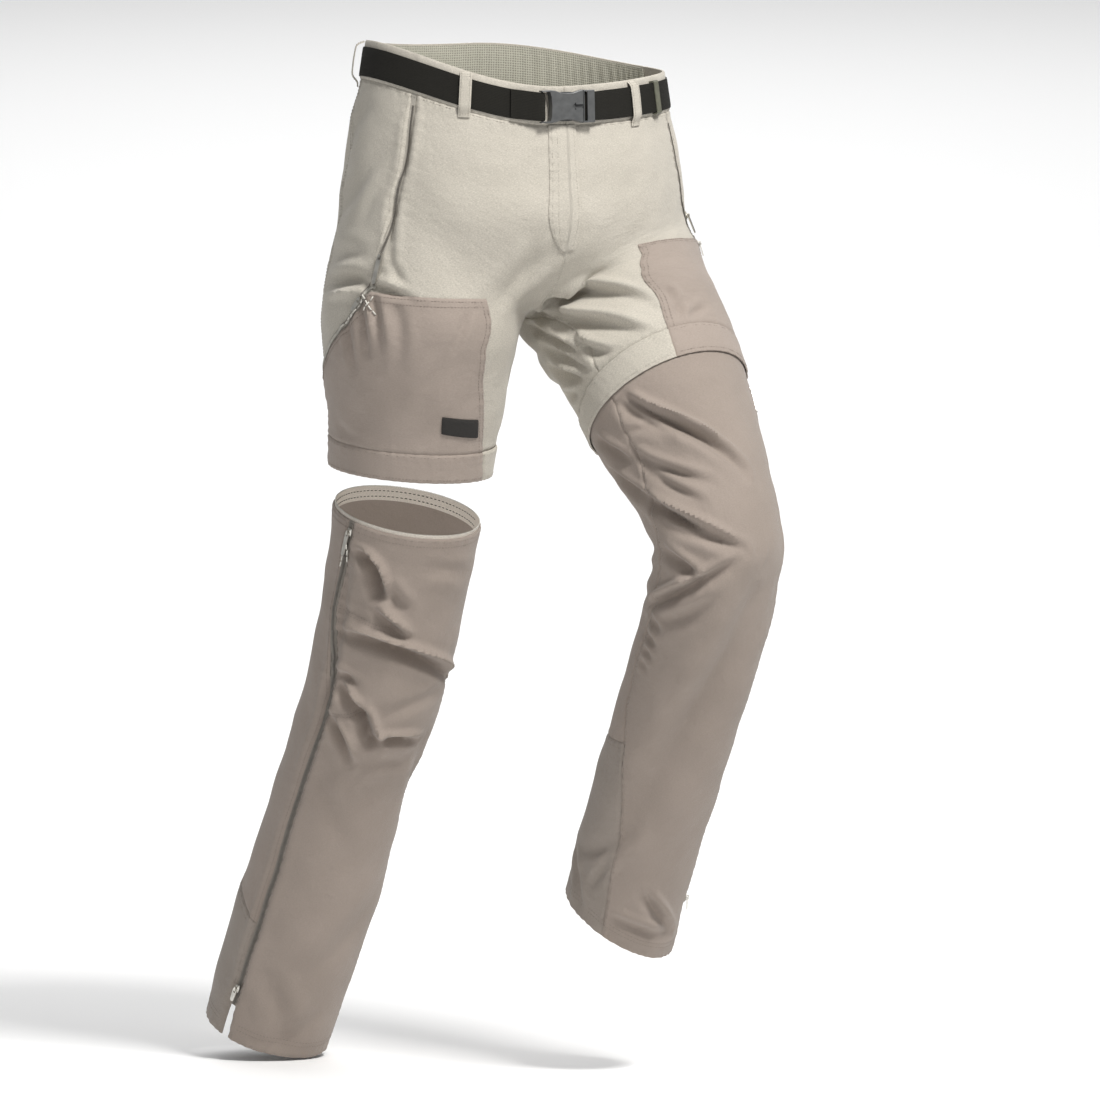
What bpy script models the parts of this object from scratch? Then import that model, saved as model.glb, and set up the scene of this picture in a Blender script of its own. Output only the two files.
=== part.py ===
"""Convertible zip-off trousers in their worn shape, the right lower leg unzipped and hanging clear.

Metres, +Z up. The wearer faces -Y, the wearer's left is +X, and the origin is the centre of the
waist. Each tube of cloth is one smooth surface, addressed by how far down it lies (metres along the
side) and how far round it lies (0 to 1). Every cloth piece is a block of one lattice on such a
surface, given a wall between two offsets, so pieces meet at seams and lie on each other.
"""
import math

import bmesh
import bpy
import numpy as np

# Cloth and seam sizes.
WALL = 0.0014
SEAM = 0.0003
LAYER_GAP = 0.0004
GRID_STEP = 0.008
GRID_COLUMNS = 64

# How far down the side the pieces begin and end.
WAIST_SEAM = 0.040
BELT_TOP = 0.007
BELT_LOW = 0.037
BELT_MIDDLE = (BELT_TOP + BELT_LOW) / 2
BAND = 0.031
ZIP_COVER = 0.008
LEG_TOP = 0.435
ZIP_TAPE_ABOVE = 0.003
ZIP_TAPE_BELOW = 0.012
ZIP_TAPE_WIDTH = 0.0075

# Places round the body: 0 is centre front or the inseam, 0.5 the side, 1 centre back or the inseam.
OUTSEAM = 0.56
FLY_EDGE = {"right": 0.036, "left": 0.022}
ZIP_SHARE = 0.012
LEG_ZIP_SHARE = 0.015
SLIT_SHARE = 0.022
SLIT_LENGTH = 0.035

# Hems: mean height, tilt and where round the leg the tilt is greatest.
SHORT_HEM = {"right": (0.428, -0.009, 0.27), "left": (0.406, -0.004, 0.33)}
LONG_HEM = {"loose": (1.016, 0.0, 0.0), "left": (1.024, 0.019, 0.37)}

# The thigh pocket's upper edge carried all round: share round the body, down.
POCKET_TOP = {"right": 0.235, "left": 0.203}
POCKET_ROW = {
    "right": ((0.0, 0.235), (0.413, POCKET_TOP["right"]), (OUTSEAM, 0.340), (1.0, 0.235)),
    "left": ((0.0, 0.235), (0.17, POCKET_TOP["left"]), (0.413, POCKET_TOP["left"]), (OUTSEAM, 0.308),
             (1.0, 0.235)),
}
# The thigh pocket's inner edge: down, share.
POCKET_EDGE = {
    "right": ((0.16, 0.185), (0.237, 0.203), (0.279, 0.215), (0.33, 0.182), (0.378, 0.155), (0.423, 0.13)),
    "left": ((0.15, 0.165), (0.201, 0.185), (0.228, 0.214), (0.262, 0.228), (0.318, 0.214), (0.356, 0.202),
             (0.402, 0.190)),
}
# The hand pocket zip: part of the way down to the thigh pocket, share.
HAND_ZIP = ((0.0, 0.328), (0.51, 0.333), (0.70, 0.343), (0.85, 0.383), (1.0, 0.413))
# The side zip of a lower leg: down, share.
LEG_ZIP = ((0.53, 0.425), (0.62, 0.378), (0.95, 0.382))
# The calf seam: share, down.
CALF_ROW = ((0.0, 0.797), (0.38, 0.890), (1.0, 0.797))

# Trunk rings, waist to hip.
# down, half width, depth in front, depth behind, z at front, right side, left side and back
TRUNK = (
    (0.000, 0.160, 0.118, 0.115, -0.017, 0.026, -0.015, 0.008),
    (0.040, 0.166, 0.122, 0.120, -0.057, -0.014, -0.055, -0.034),
    (0.105, 0.178, 0.128, 0.141, -0.108, -0.080, -0.112, -0.098),
    (0.170, 0.187, 0.128, 0.156, -0.165, -0.148, -0.172, -0.163),
)

# Centre seams between the hip ring and the crotch point.
# down, front y, front z, back y, back z
SEAT = (
    (0.198, -0.112, -0.205, 0.125, -0.215),
    (0.227, -0.075, -0.245, 0.065, -0.262),
)
CROTCH_DOWN = 0.255
CROTCH_POINT = (0.0, 0.005, -0.275)

# Leg rings, across the limb.
# down, centre x, y, z, half width, half depth, inseam turned forward in degrees
LEFT_LEG = (
    (0.255, 0.099, -0.024, -0.243, 0.097, 0.110, 0),
    (0.340, 0.112, -0.079, -0.303, 0.092, 0.096, 4),
    (0.435, 0.120, -0.138, -0.375, 0.083, 0.085, 10),
    (0.514, 0.127, -0.187, -0.435, 0.071, 0.072, 16),
    (0.578, 0.130, -0.213, -0.492, 0.066, 0.066, 20),
    (0.645, 0.129, -0.191, -0.555, 0.064, 0.064, 22),
    (0.741, 0.125, -0.147, -0.640, 0.064, 0.064, 22),
    (0.853, 0.117, -0.097, -0.740, 0.063, 0.063, 22),
    (0.954, 0.111, -0.052, -0.830, 0.061, 0.061, 22),
    (1.055, 0.107, -0.011, -0.922, 0.060, 0.060, 22),
)
RIGHT_LEG = (
    (0.255, -0.098, 0.012, -0.250, 0.102, 0.112, 0),
    (0.315, -0.100, 0.021, -0.310, 0.097, 0.102, 3),
    (0.375, -0.099, 0.033, -0.370, 0.087, 0.092, 6),
    (0.445, -0.100, 0.045, -0.440, 0.079, 0.084, 8),
)
LOOSE_LEG = (
    (0.435, -0.1010, 0.0465, -0.470, 0.077, 0.079, 10),
    (0.526, -0.1060, 0.0700, -0.561, 0.073, 0.073, 16),
    (0.636, -0.1150, 0.1070, -0.668, 0.070, 0.070, 20),
    (0.720, -0.1240, 0.1480, -0.744, 0.067, 0.067, 20),
    (0.833, -0.1360, 0.1930, -0.851, 0.069, 0.069, 20),
    (0.925, -0.1480, 0.2310, -0.937, 0.069, 0.069, 20),
    (1.045, -0.1633, 0.2780, -1.051, 0.065, 0.065, 20),
)

# The largest folds, each a trough along a curve through three places on its tube.
# tube, down and share at the start, the middle and the end, half width, depth
FOLDS = (
    ("loose", 0.464, 0.400, 0.492, 0.335, 0.516, 0.268, 0.0090, 0.0085),
    ("loose", 0.519, 0.325, 0.531, 0.290, 0.543, 0.253, 0.0060, 0.0040),
    ("loose", 0.563, 0.395, 0.566, 0.250, 0.603, 0.040, 0.0090, 0.0095),
    ("loose", 0.618, 0.350, 0.650, 0.255, 0.669, 0.100, 0.0090, 0.0085),
    ("loose", 0.645, 0.360, 0.663, 0.320, 0.681, 0.288, 0.0070, 0.0040),
    ("loose", 0.600, 0.930, 0.585, 0.800, 0.600, 0.660, 0.0100, 0.0080),
    ("loose", 0.640, 0.880, 0.650, 0.750, 0.630, 0.620, 0.0090, 0.0070),
    ("left", 0.262, 0.060, 0.290, 0.140, 0.342, 0.200, 0.0100, 0.0070),
    ("left", 0.303, 0.050, 0.335, 0.100, 0.366, 0.147, 0.0090, 0.0055),
    ("left", 0.342, 0.030, 0.356, 0.065, 0.372, 0.100, 0.0070, 0.0040),
    ("left", 0.432, 0.050, 0.462, 0.092, 0.519, 0.177, 0.0090, 0.0070),
    ("left", 0.436, -0.005, 0.487, 0.040, 0.531, 0.118, 0.0090, 0.0070),
    ("left", 0.440, -0.060, 0.510, -0.020, 0.567, 0.062, 0.0090, 0.0060),
    ("left", 0.606, 0.950, 0.612, 1.010, 0.606, 1.070, 0.0080, 0.0040),
    ("left", 0.565, 0.930, 0.575, 0.800, 0.565, 0.660, 0.0100, 0.0080),
    ("left", 0.600, 0.900, 0.612, 0.780, 0.600, 0.660, 0.0100, 0.0090),
    ("left", 0.638, 0.920, 0.645, 0.800, 0.635, 0.700, 0.0090, 0.0060),
    ("left", 0.290, 0.700, 0.315, 0.800, 0.330, 0.900, 0.0120, 0.0045),
    ("right", 0.290, 0.920, 0.305, 0.840, 0.295, 0.720, 0.0120, 0.0060),
    ("right", 0.330, 0.920, 0.340, 0.840, 0.335, 0.750, 0.0100, 0.0040),
    ("right", 0.249, 0.278, 0.270, 0.287, 0.292, 0.300, 0.0070, 0.0030),
)
FOLD_LIP = 0.30
# Stretches held flat by a zip and its band: down at the start and the end, and the fade beside them.
FLAT_STRETCH = {"right": (0.388, 0.437), "left": (0.371, 0.410), "loose": (0.432, 0.448)}
FLAT_FADE = 0.016
FOLD_STEPS = 33
MERGE = 0.000001

# Layers that lie on the panels, as heights over the panel's outer face.
TAPE_SINK = 0.0002
POCKET_OUTER = LAYER_GAP + WALL
TAPE_OUTER = LAYER_GAP + 0.0010
BAND_STAND_OFF = (0.0004, 0.0008, 0.0011, 0.0013)
BAND_WALL = 0.0016
WAISTBAND_OUTER = 0.0006
FACING_WALL = 0.0009
FACING_DROP = 0.0015
FLY_WALL = 0.0009
FLY_ROWS = 7
FLY_ROUNDING = ((-1, 0.70), (-2, 0.25))
LABEL_INNER = POCKET_OUTER + 0.0006
LABEL_WALL = 0.0008
LABEL_CORNERS = ((0.345, 0.263), (0.351, 0.188), (0.372, 0.177), (0.364, 0.258))

# The belt, the loops over it and the keeper.
BELT_INNER = WAISTBAND_OUTER + LAYER_GAP
BELT_WALL = 0.0015
BELT_HALF = 0.0146
BAR_HALF = 0.0010
BAR_GAP = 0.0006
BAR_STEPS = 7
TURN_BACK_CUT = 0.4
# Where the webbing turns in the buckle: along it, height, how far it runs straight outward.
SOCKET_BAR = (-0.0275, -0.0004, 0.0030)
LADDER_BAR = (0.0215, -0.0019, 0.0092)
TAIL_COLUMNS = 6
LOOP_WIDTH = 0.0125
LOOP_WALL = 0.0010
LOOP_FOOT = 0.0015
LOOP_SHAPE = (
    (0.0022, 0.0), (0.0052, 0.85), (0.0112, 1.0), (0.0220, 1.02), (0.0325, 1.0),
    (0.0388, 0.85), (0.0435, 0.08), (0.0485, -0.04),
)
BELT_LOOPS = (
    ("front_right", "right", 0.2100, 0.0045),
    ("front_left", "left", 0.1750, 0.0062),
    ("side_right", "right", 0.6000, 0.0095),
    ("side_left", "left", 0.6000, 0.0095),
    ("back_right", "right", 0.9850, 0.0045),
)
KEEPER_SHARE = 0.2532
KEEPER_WIDTH = 0.009
KEEPER_COLUMNS = (6, 7)
KEEPER_LIFT = 0.0013
# The keeper in side view: along the body's down direction, height.
KEEPER_OUTER = (
    (-0.0172, 0.0010), (0.0172, 0.0010), (0.0174, 0.0060), (0.0160, 0.0072), (-0.0160, 0.0072), (-0.0174, 0.0060),
)
KEEPER_INNER = (
    (-0.0156, 0.0019), (0.0156, 0.0019), (0.0158, 0.0056), (0.0150, 0.0062), (-0.0150, 0.0062), (-0.0158, 0.0056),
)

# The buckle, measured from its middle: along it, half height, half thickness.
BUCKLE_ENDS = {"right": 0.0590, "left": 0.0600}
BUCKLE_HEIGHT = 0.0082
BUCKLE_HALF_THICK = 0.0044
BUCKLE_BEVEL = 0.0009
BUCKLE_LUG = 0.0152
BUCKLE_JOIN = 0.0169
BUCKLE_END = 0.0300
SOCKET_SIDE = (
    (-0.0297, 0.0166), (-0.0190, 0.0170), (-0.0145, 0.0163), (-0.0090, 0.0145),
    (-0.0020, 0.0135), (0.0050, 0.0140), (0.0110, 0.0157), (BUCKLE_JOIN, 0.0172),
)
SOCKET_CRESCENT = (
    (-0.0310, -BUCKLE_LUG), (-0.0205, -BUCKLE_LUG), (-0.0190, -0.0100), (-0.0184, 0.0),
    (-0.0190, 0.0100), (-0.0205, BUCKLE_LUG), (-0.0310, BUCKLE_LUG),
)
SOCKET_ARROW = ((0.0044, 0.0), (0.0085, -0.0042), (0.0085, -0.0020), (0.0180, -0.0020),
                (0.0180, 0.0020), (0.0085, 0.0020), (0.0085, 0.0042))
PRONG_OUTLINE = (
    (-0.0105, 0.0072), (-0.0125, 0.0095), (-0.0118, 0.0128), (-0.0060, 0.0152), (0.0045, 0.0150),
    (0.0055, 0.0112),
)

# Zip sliders in side view: along the zip, height, half width. The window is where the tab's bar turns.
SLIDER_OUTER = (
    (-0.0042, 0.0004, 0.0021), (0.0, 0.0004, 0.0028), (0.0042, 0.0004, 0.0024), (0.0042, 0.0016, 0.0024),
    (0.0028, 0.0019, 0.0010), (0.0019, 0.0048, 0.0010), (-0.0019, 0.0048, 0.0010),
    (-0.0028, 0.0019, 0.0010), (-0.0042, 0.0016, 0.0021),
)
SLIDER_INNER = (
    (-0.0012, 0.0020, 0.0010), (0.0, 0.0020, 0.0010), (0.0012, 0.0020, 0.0010), (0.0016, 0.0020, 0.0010),
    (0.0017, 0.0023, 0.0010), (0.0012, 0.0041, 0.0010), (-0.0012, 0.0041, 0.0010),
    (-0.0017, 0.0023, 0.0010), (-0.0016, 0.0020, 0.0010),
)
SLIDER_AXIS = 0.0030
PULL_THICK = 0.0010
PULL_NECK = 0.0060
PULL_REACH = 0.0200
PULL_OUTER = (
    (-0.0007, -0.0020), (-0.0007, 0.0020), (0.0010, 0.0027), (0.0048, 0.0027), (0.0182, 0.0023),
    (0.0200, 0.0012), (0.0200, -0.0012), (0.0182, -0.0023), (0.0048, -0.0027), (0.0010, -0.0027),
)
PULL_INNER = (
    (0.0006, -0.0012), (0.0006, 0.0012), (0.0012, 0.0014), (0.0040, 0.0014), (0.0044, 0.0010),
    (0.0045, 0.0003), (0.0045, -0.0003), (0.0044, -0.0010), (0.0040, -0.0014), (0.0012, -0.0014),
)
# name, lattice, down, share, step along the zip in down and share, lift, tab length, tilt out in degrees
SLIDERS = (
    ("hand_right", "upper_right", 0.2030, 0.3858, 0.0040, 0.0034, 0.0, 0.030, 4.0),
    ("hand_left", "upper_left", 0.1600, 0.3665, 0.0040, 0.0053, 0.0, 0.022, 9.0),
    ("thigh_right", "upper_right", 0.2422, 0.4300, 0.0071, 0.0100, TAPE_OUTER, 0.016, 0.0),
    ("thigh_left", "upper_left", 0.2102, 0.4300, 0.0071, 0.0100, TAPE_OUTER, 0.016, 0.0),
    ("side_right", "lower_loose", 0.447, 0.4250, 0.0040, 0.0, 0.0, 0.026, 3.0),
    ("side_left", "lower_left", 0.417, 0.4250, 0.0040, 0.0, 0.0, 0.026, 0.0),
    ("hem_right", "lower_loose", 0.962, 0.3820, 0.0040, 0.0, 0.0, 0.014, 4.0),
    ("hem_left", "lower_left", 0.985, 0.3820, 0.0040, 0.0, 0.0, 0.014, 11.0),
)


def unit(vectors):
    """Vectors scaled to length one along the last axis."""
    return vectors / np.maximum(np.linalg.norm(vectors, axis=-1, keepdims=True), 1e-12)


def ease(x):
    """Smooth step from 0 to 1."""
    x = np.clip(x, 0.0, 1.0)
    return x * x * (3.0 - 2.0 * x)


def trunk_row(ring, side, round_share):
    """One side's half of a trunk ring, from centre front to centre back."""
    _, half_width, front, back, z_front, z_right, z_left, z_back = ring
    angle = math.pi * round_share
    cosine = np.cos(angle)
    z_side = z_right if side < 0 else z_left
    z_middle = z_front * (1 + cosine) / 2 + z_back * (1 - cosine) / 2
    x = side * half_width * np.sin(angle)
    y = -np.where(cosine > 0, front, back) * cosine
    z = z_side * np.sin(angle) ** 2 + z_middle * cosine ** 2
    return np.stack((x, y, z), axis=-1)


def leg_row(ring, axis, side, round_share):
    """A closed ring across a limb: inner, front, outer, back."""
    _, x, y, z, half_width, half_depth, turn = ring
    outward = unit(np.array((side, 0.0, 0.0)) - side * axis[0] * axis)
    forward = side * np.cross(axis, outward)
    angle = 2 * math.pi * round_share + math.radians(turn)
    return (np.array((x, y, z))
            - half_width * np.cos(angle)[:, None] * outward
            + half_depth * np.sin(angle)[:, None] * forward)


def leg_rows(table, side, round_share, upright_start):
    """Rings square to the limb; the first one may lean half way back to level."""
    centres = np.array([row[1:4] for row in table])
    chords = unit(np.diff(centres, axis=0))
    axes = unit(np.concatenate((chords[:1], chords[1:] + chords[:-1], chords[-1:])))
    if upright_start:
        axes[0] = unit(axes[0] + np.array((0.0, 0.0, -1.0)))
    return [leg_row(row, axis, side, round_share) for row, axis in zip(table, axes)]


def pulled_ends(row, round_share, front_point, back_point):
    """A row whose two ends are drawn smoothly to given points."""
    front_pull = np.clip(1 - round_share / 0.25, 0, 1)[:, None] ** 2
    back_pull = np.clip(1 - (1 - round_share) / 0.25, 0, 1)[:, None] ** 2
    to_front = np.array(front_point) - row[0]
    to_back = np.array(back_point) - row[-1]
    return row + front_pull * to_front + back_pull * to_back


def spline_rows(key_downs, keys, downs, corner=None, kink=None):
    """Smooth rows through the key rows; at the corner row a column may keep its kink."""
    spans = np.diff(key_downs)[:, None, None]
    chords = np.diff(keys, axis=0) / spans
    arriving = np.concatenate((chords[:1], chords))
    leaving = np.concatenate((chords, chords[-1:]))
    before = np.concatenate((spans[:1], spans))
    after = np.concatenate((spans, spans[-1:]))
    smooth = (arriving * after + leaving * before) / (before + after)
    slopes_in = smooth.copy()
    slopes_out = smooth.copy()
    if corner is not None:
        slopes_in[corner] += kink[:, None] * (arriving[corner] - smooth[corner])
        slopes_out[corner] += kink[:, None] * (leaving[corner] - smooth[corner])
    rows = []
    for down in downs:
        index = int(np.clip(np.searchsorted(key_downs, down, side="right") - 1, 0, len(spans) - 1))
        span = spans[index]
        t = (down - key_downs[index]) / span
        rows.append(
            (2 * t ** 3 - 3 * t ** 2 + 1) * keys[index]
            + (t ** 3 - 2 * t ** 2 + t) * span * slopes_out[index]
            + (3 * t ** 2 - 2 * t ** 3) * keys[index + 1]
            + (t ** 3 - t ** 2) * span * slopes_in[index + 1]
        )
    return np.stack([row.reshape(keys.shape[1:]) for row in rows])


class Surface:
    """One tube of cloth as a fine grid of points and outward normals."""

    def __init__(self, downs, points, normals):
        self.downs = downs
        self.points = points
        self.normals = normals

    def sample(self, down, round_share):
        """Points and normals read between the grid's own points."""
        down = np.asarray(down, dtype=float)
        round_share = np.asarray(round_share, dtype=float)
        rows, columns = self.points.shape[:2]
        i = (down - self.downs[0]) / (self.downs[1] - self.downs[0])
        j = round_share * (columns - 1)
        i0 = np.clip(np.floor(i).astype(int), 0, rows - 2)
        j0 = np.clip(np.floor(j).astype(int), 0, columns - 2)
        s = (i - i0)[..., None]
        t = (j - j0)[..., None]
        result = []
        for grid in (self.points, self.normals):
            upper = grid[i0, j0] * (1 - t) + grid[i0, j0 + 1] * t
            lower = grid[i0 + 1, j0] * (1 - t) + grid[i0 + 1, j0 + 1] * t
            result.append(upper * (1 - s) + lower * s)
        return result[0], unit(result[1])


def grid_normals(points, ids, outward_sign):
    """Shared normals of several grids whose corners have common numbers."""
    total = np.zeros((max(int(i.max()) for i in ids) + 1, 3))
    for grid, numbers, sign in zip(points, ids, outward_sign):
        across = grid[1:, 1:] - grid[:-1, :-1]
        other = grid[:-1, 1:] - grid[1:, :-1]
        face = np.cross(across, other) * sign
        for rows, columns in ((slice(None, -1), slice(None, -1)), (slice(1, None), slice(None, -1)),
                              (slice(None, -1), slice(1, None)), (slice(1, None), slice(1, None))):
            np.add.at(total, numbers[rows, columns], face)
    total = unit(total)
    return [total[numbers] for numbers in ids]


def corner_numbers(left_rows, right_rows, crotch_row, columns):
    """Vertex numbers of both sides' grids: shared at the centre seams, closed round each leg."""
    ids = []
    count = 0
    for rows in (left_rows, right_rows):
        numbers = np.arange(rows * columns).reshape(rows, columns) + count
        numbers[crotch_row + 1:, -1] = numbers[crotch_row + 1:, 0]
        numbers[crotch_row, -1] = numbers[crotch_row, 0]
        count += rows * columns
        ids.append(numbers)
    ids[1][:crotch_row + 1, 0] = ids[0][:crotch_row + 1, 0]
    ids[1][:crotch_row + 1, -1] = ids[0][:crotch_row + 1, -1]
    return ids


def relax(points, ids, centre, reach, rounds):
    """Even out the grids near one point, most at the point and not at all beyond its reach."""
    count = max(int(i.max()) for i in ids) + 1
    place = np.zeros((count, 3))
    for grid, numbers in zip(points, ids):
        place[numbers] = grid
    pairs = []
    for numbers in ids:
        pairs.append(np.stack((numbers[1:].ravel(), numbers[:-1].ravel()), axis=1))
        pairs.append(np.stack((numbers[:, 1:].ravel(), numbers[:, :-1].ravel()), axis=1))
    pairs = np.concatenate(pairs)
    weight = ease(1 - np.linalg.norm(place - np.array(centre), axis=1) / reach)[:, None]
    degree = np.zeros((count, 1))
    np.add.at(degree, pairs.ravel(), 1.0)
    degree = np.maximum(degree, 1.0)
    for _ in range(rounds):
        total = np.zeros((count, 3))
        np.add.at(total, pairs[:, 0], place[pairs[:, 1]])
        np.add.at(total, pairs[:, 1], place[pairs[:, 0]])
        place = place + 0.5 * weight * (total / degree - place)
    return [place[numbers] for numbers in ids]


def body_surfaces():
    """The left tube from waist to hem and the right tube from waist to the short hem."""
    round_share = np.linspace(0, 1, GRID_COLUMNS + 1)
    kink = ease(1 - np.minimum(round_share, 1 - round_share) / 0.12)
    steps = int(round(CROTCH_DOWN / GRID_STEP))
    step = CROTCH_DOWN / steps
    grids = []
    all_downs = []
    for side, table in ((1.0, LEFT_LEG), (-1.0, RIGHT_LEG)):
        trunk = [trunk_row(ring, side, round_share) for ring in TRUNK]
        legs = leg_rows(table, side, round_share, upright_start=True)
        legs[0] = pulled_ends(legs[0], round_share, CROTCH_POINT, CROTCH_POINT)
        seat = []
        for index, (_, front_y, front_z, back_y, back_z) in enumerate(SEAT):
            share = (index + 1) / (len(SEAT) + 1)
            row = trunk[-1] * (1 - share) + legs[0] * share
            seat.append(pulled_ends(row, round_share, (0, front_y, front_z), (0, back_y, back_z)))
        keys = np.stack(trunk + seat + legs)
        key_downs = np.array([row[0] for row in TRUNK + SEAT + table])
        last = key_downs[-1]
        downs = np.arange(0, int(math.ceil(last / step - 1e-6)) + 1) * step
        grids.append(spline_rows(key_downs, keys, downs, len(TRUNK) + len(SEAT), kink))
        all_downs.append(downs)
    ids = corner_numbers(len(grids[0]), len(grids[1]), steps, GRID_COLUMNS + 1)
    grids = relax(grids, ids, CROTCH_POINT, 0.11, 40)
    grids = folded(grids, ids, (1.0, -1.0), ("left", "right"), all_downs)
    normals = grid_normals(grids, ids, (1.0, -1.0))
    return {
        "left": Surface(all_downs[0], grids[0], normals[0]),
        "right": Surface(all_downs[1], grids[1], normals[1]),
    }


def loose_surface():
    """The unzipped right lower leg."""
    round_share = np.linspace(0, 1, GRID_COLUMNS + 1)
    keys = np.stack(leg_rows(LOOSE_LEG, -1.0, round_share, upright_start=False))
    key_downs = np.array([row[0] for row in LOOSE_LEG])
    first = key_downs[0] - ZIP_TAPE_ABOVE
    count = int(round((key_downs[-1] - first) / GRID_STEP))
    downs = np.linspace(first, key_downs[-1], count + 1)
    grid = spline_rows(key_downs, keys, downs)
    numbers = np.arange(grid.shape[0] * grid.shape[1]).reshape(grid.shape[:2])
    numbers[:, -1] = numbers[:, 0]
    grids = folded([grid], [numbers], (-1.0,), ("loose",), (downs,))
    normals = grid_normals(grids, [numbers], (-1.0,))
    return Surface(downs, grids[0], normals[0])


def fold_paths(surfaces, folds):
    """Each fold as points along its curve, with its half width and depth."""
    share = np.linspace(0, 1, FOLD_STEPS)
    paths = []
    for tube, *places, width, depth in folds:
        if tube not in surfaces:
            continue
        start, middle, end = np.array(places).reshape(3, 2)
        control = 2 * middle - (start + end) / 2
        curve = (np.outer((1 - share) ** 2, start) + np.outer(2 * share * (1 - share), control)
                 + np.outer(share ** 2, end))
        points, _ = surfaces[tube].sample(curve[:, 0], np.mod(curve[:, 1], 1.0))
        paths.append((points, width, depth))
    return paths


def folded(grids, ids, signs, names, downs):
    """The grids with their folds pressed in along the normals."""
    normals = grid_normals(grids, ids, signs)
    surfaces = {name: Surface(rows, grid, normal)
                for name, rows, grid, normal in zip(names, downs, grids, normals)}
    share = np.linspace(0, 1, FOLD_STEPS)
    result = []
    for name, rows, grid, normal in zip(names, downs, grids, normals):
        start, end = FLAT_STRETCH[name]
        flat = ease((rows - start) / FLAT_FADE + 1) * ease((end - rows) / FLAT_FADE + 1)
        moved = np.zeros(grid.shape[:-1])
        for points, width, depth in fold_paths(surfaces, FOLDS):
            distance = np.linalg.norm(grid[..., None, :] - points, axis=-1)
            nearest = np.argmin(distance, axis=-1)
            gap = np.min(distance, axis=-1) / width
            taper = np.sin(math.pi * (0.06 + 0.88 * share[nearest])) ** 0.8
            trough = np.exp(-gap ** 2) - FOLD_LIP * np.exp(-((gap - 1.8) / 0.8) ** 2)
            moved -= depth * taper * trough
        result.append(grid + normal * (moved * (1 - flat)[:, None])[..., None])
    return result


def level(value):
    """A line that stays at one value."""
    return lambda along: np.full_like(along, value)


def line(table, offset=0.0):
    """A line read from a two-column table, with straight stretches between its rows."""
    places, values = zip(*table)
    return lambda along: np.interp(along, places, values) + offset


def hem_line(sizes, offset=0.0):
    """A hem that may hang lower on one side."""
    mean, tilt, lowest = sizes
    return lambda share: mean + tilt * np.cos(2 * math.pi * (share - lowest)) + offset


def spread(lines):
    """Every line of one direction, with the place of each named one."""
    places = {}
    every = []
    for index, (name, here, count) in enumerate(lines):
        places[name] = len(every)
        every.append(here)
        for step in range(1, count):
            part = step / count
            following = lines[index + 1][1]
            every.append(lambda x, a=here, b=following, t=part: a(x) * (1 - t) + b(x) * t)
    return places, every


class Lattice:
    """Named rows and columns laid over a surface, from which all pieces on it are cut."""

    def __init__(self, surface, rows, columns):
        self.row, row_lines = spread(rows)
        self.column, column_lines = spread(columns)
        down = np.zeros((len(row_lines), len(column_lines)))
        share = np.tile([float(here(np.array(0.3))) for here in column_lines], (len(row_lines), 1))
        for _ in range(8):
            down = np.stack([here(share[index]) for index, here in enumerate(row_lines)])
            share = np.stack([here(down[:, index]) for index, here in enumerate(column_lines)], axis=1)
        self.down = down
        self.share = share
        self.points, self.normals = surface.sample(down, share)

    def block(self, top, bottom, left, right):
        """The points and normals between named rows and columns; a name may carry a step, as row+2."""
        rows = slice(self.place(self.row, top), self.place(self.row, bottom) + 1)
        columns = slice(self.place(self.column, left), self.place(self.column, right) + 1)
        return self.points[rows, columns], self.normals[rows, columns]

    @staticmethod
    def place(places, name):
        """The index of a named line, or of one some steps past it."""
        base, _, step = name.partition("+")
        return places[base] + int(step or 0)

    def facet(self, down, share):
        """The point on the flat facets at a place, that facet's normal and the smooth normal."""
        flat = np.stack((self.down, self.share), axis=-1)
        for second, third in (((0, 1), (1, 1)), ((1, 1), (1, 0))):
            corners = []
            for row_step, column_step in ((0, 0), second, third):
                rows = slice(row_step, flat.shape[0] - 1 + row_step)
                columns = slice(column_step, flat.shape[1] - 1 + column_step)
                corners.append((flat[rows, columns], self.points[rows, columns], self.normals[rows, columns]))
            (a, pa, na), (b, pb, nb), (c, pc, nc) = corners
            ab = b - a
            ac = c - a
            area = ab[..., 0] * ac[..., 1] - ab[..., 1] * ac[..., 0]
            to = np.array((down, share)) - a
            safe = np.where(np.abs(area) < 1e-12, np.inf, area)
            beta = (to[..., 0] * ac[..., 1] - to[..., 1] * ac[..., 0]) / safe
            gamma = (ab[..., 0] * to[..., 1] - ab[..., 1] * to[..., 0]) / safe
            inside = (beta >= -1e-9) & (gamma >= -1e-9) & (beta + gamma <= 1 + 1e-9) & np.isfinite(safe)
            if inside.any():
                i, j = np.argwhere(inside)[0]
                weights = np.array((1 - beta[i, j] - gamma[i, j], beta[i, j], gamma[i, j]))
                triangle = np.stack((pa[i, j], pb[i, j], pc[i, j]))
                normal = unit(np.cross(triangle[1] - triangle[0], triangle[2] - triangle[0]))
                normal = normal * np.sign(normal @ na[i, j])
                smooth = unit(weights @ np.stack((na[i, j], nb[i, j], nc[i, j])))
                return weights @ triangle, normal, smooth
        raise ValueError("no facet at this place")


def joined(first, second):
    """Two blocks side by side as one; the second begins where the first ends."""
    return (np.concatenate((first[0], second[0][:, 1:]), axis=1),
            np.concatenate((first[1], second[1][:, 1:]), axis=1))


def mirrored(block):
    """A block read from its last column to its first."""
    return block[0][:, ::-1], block[1][:, ::-1]


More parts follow.
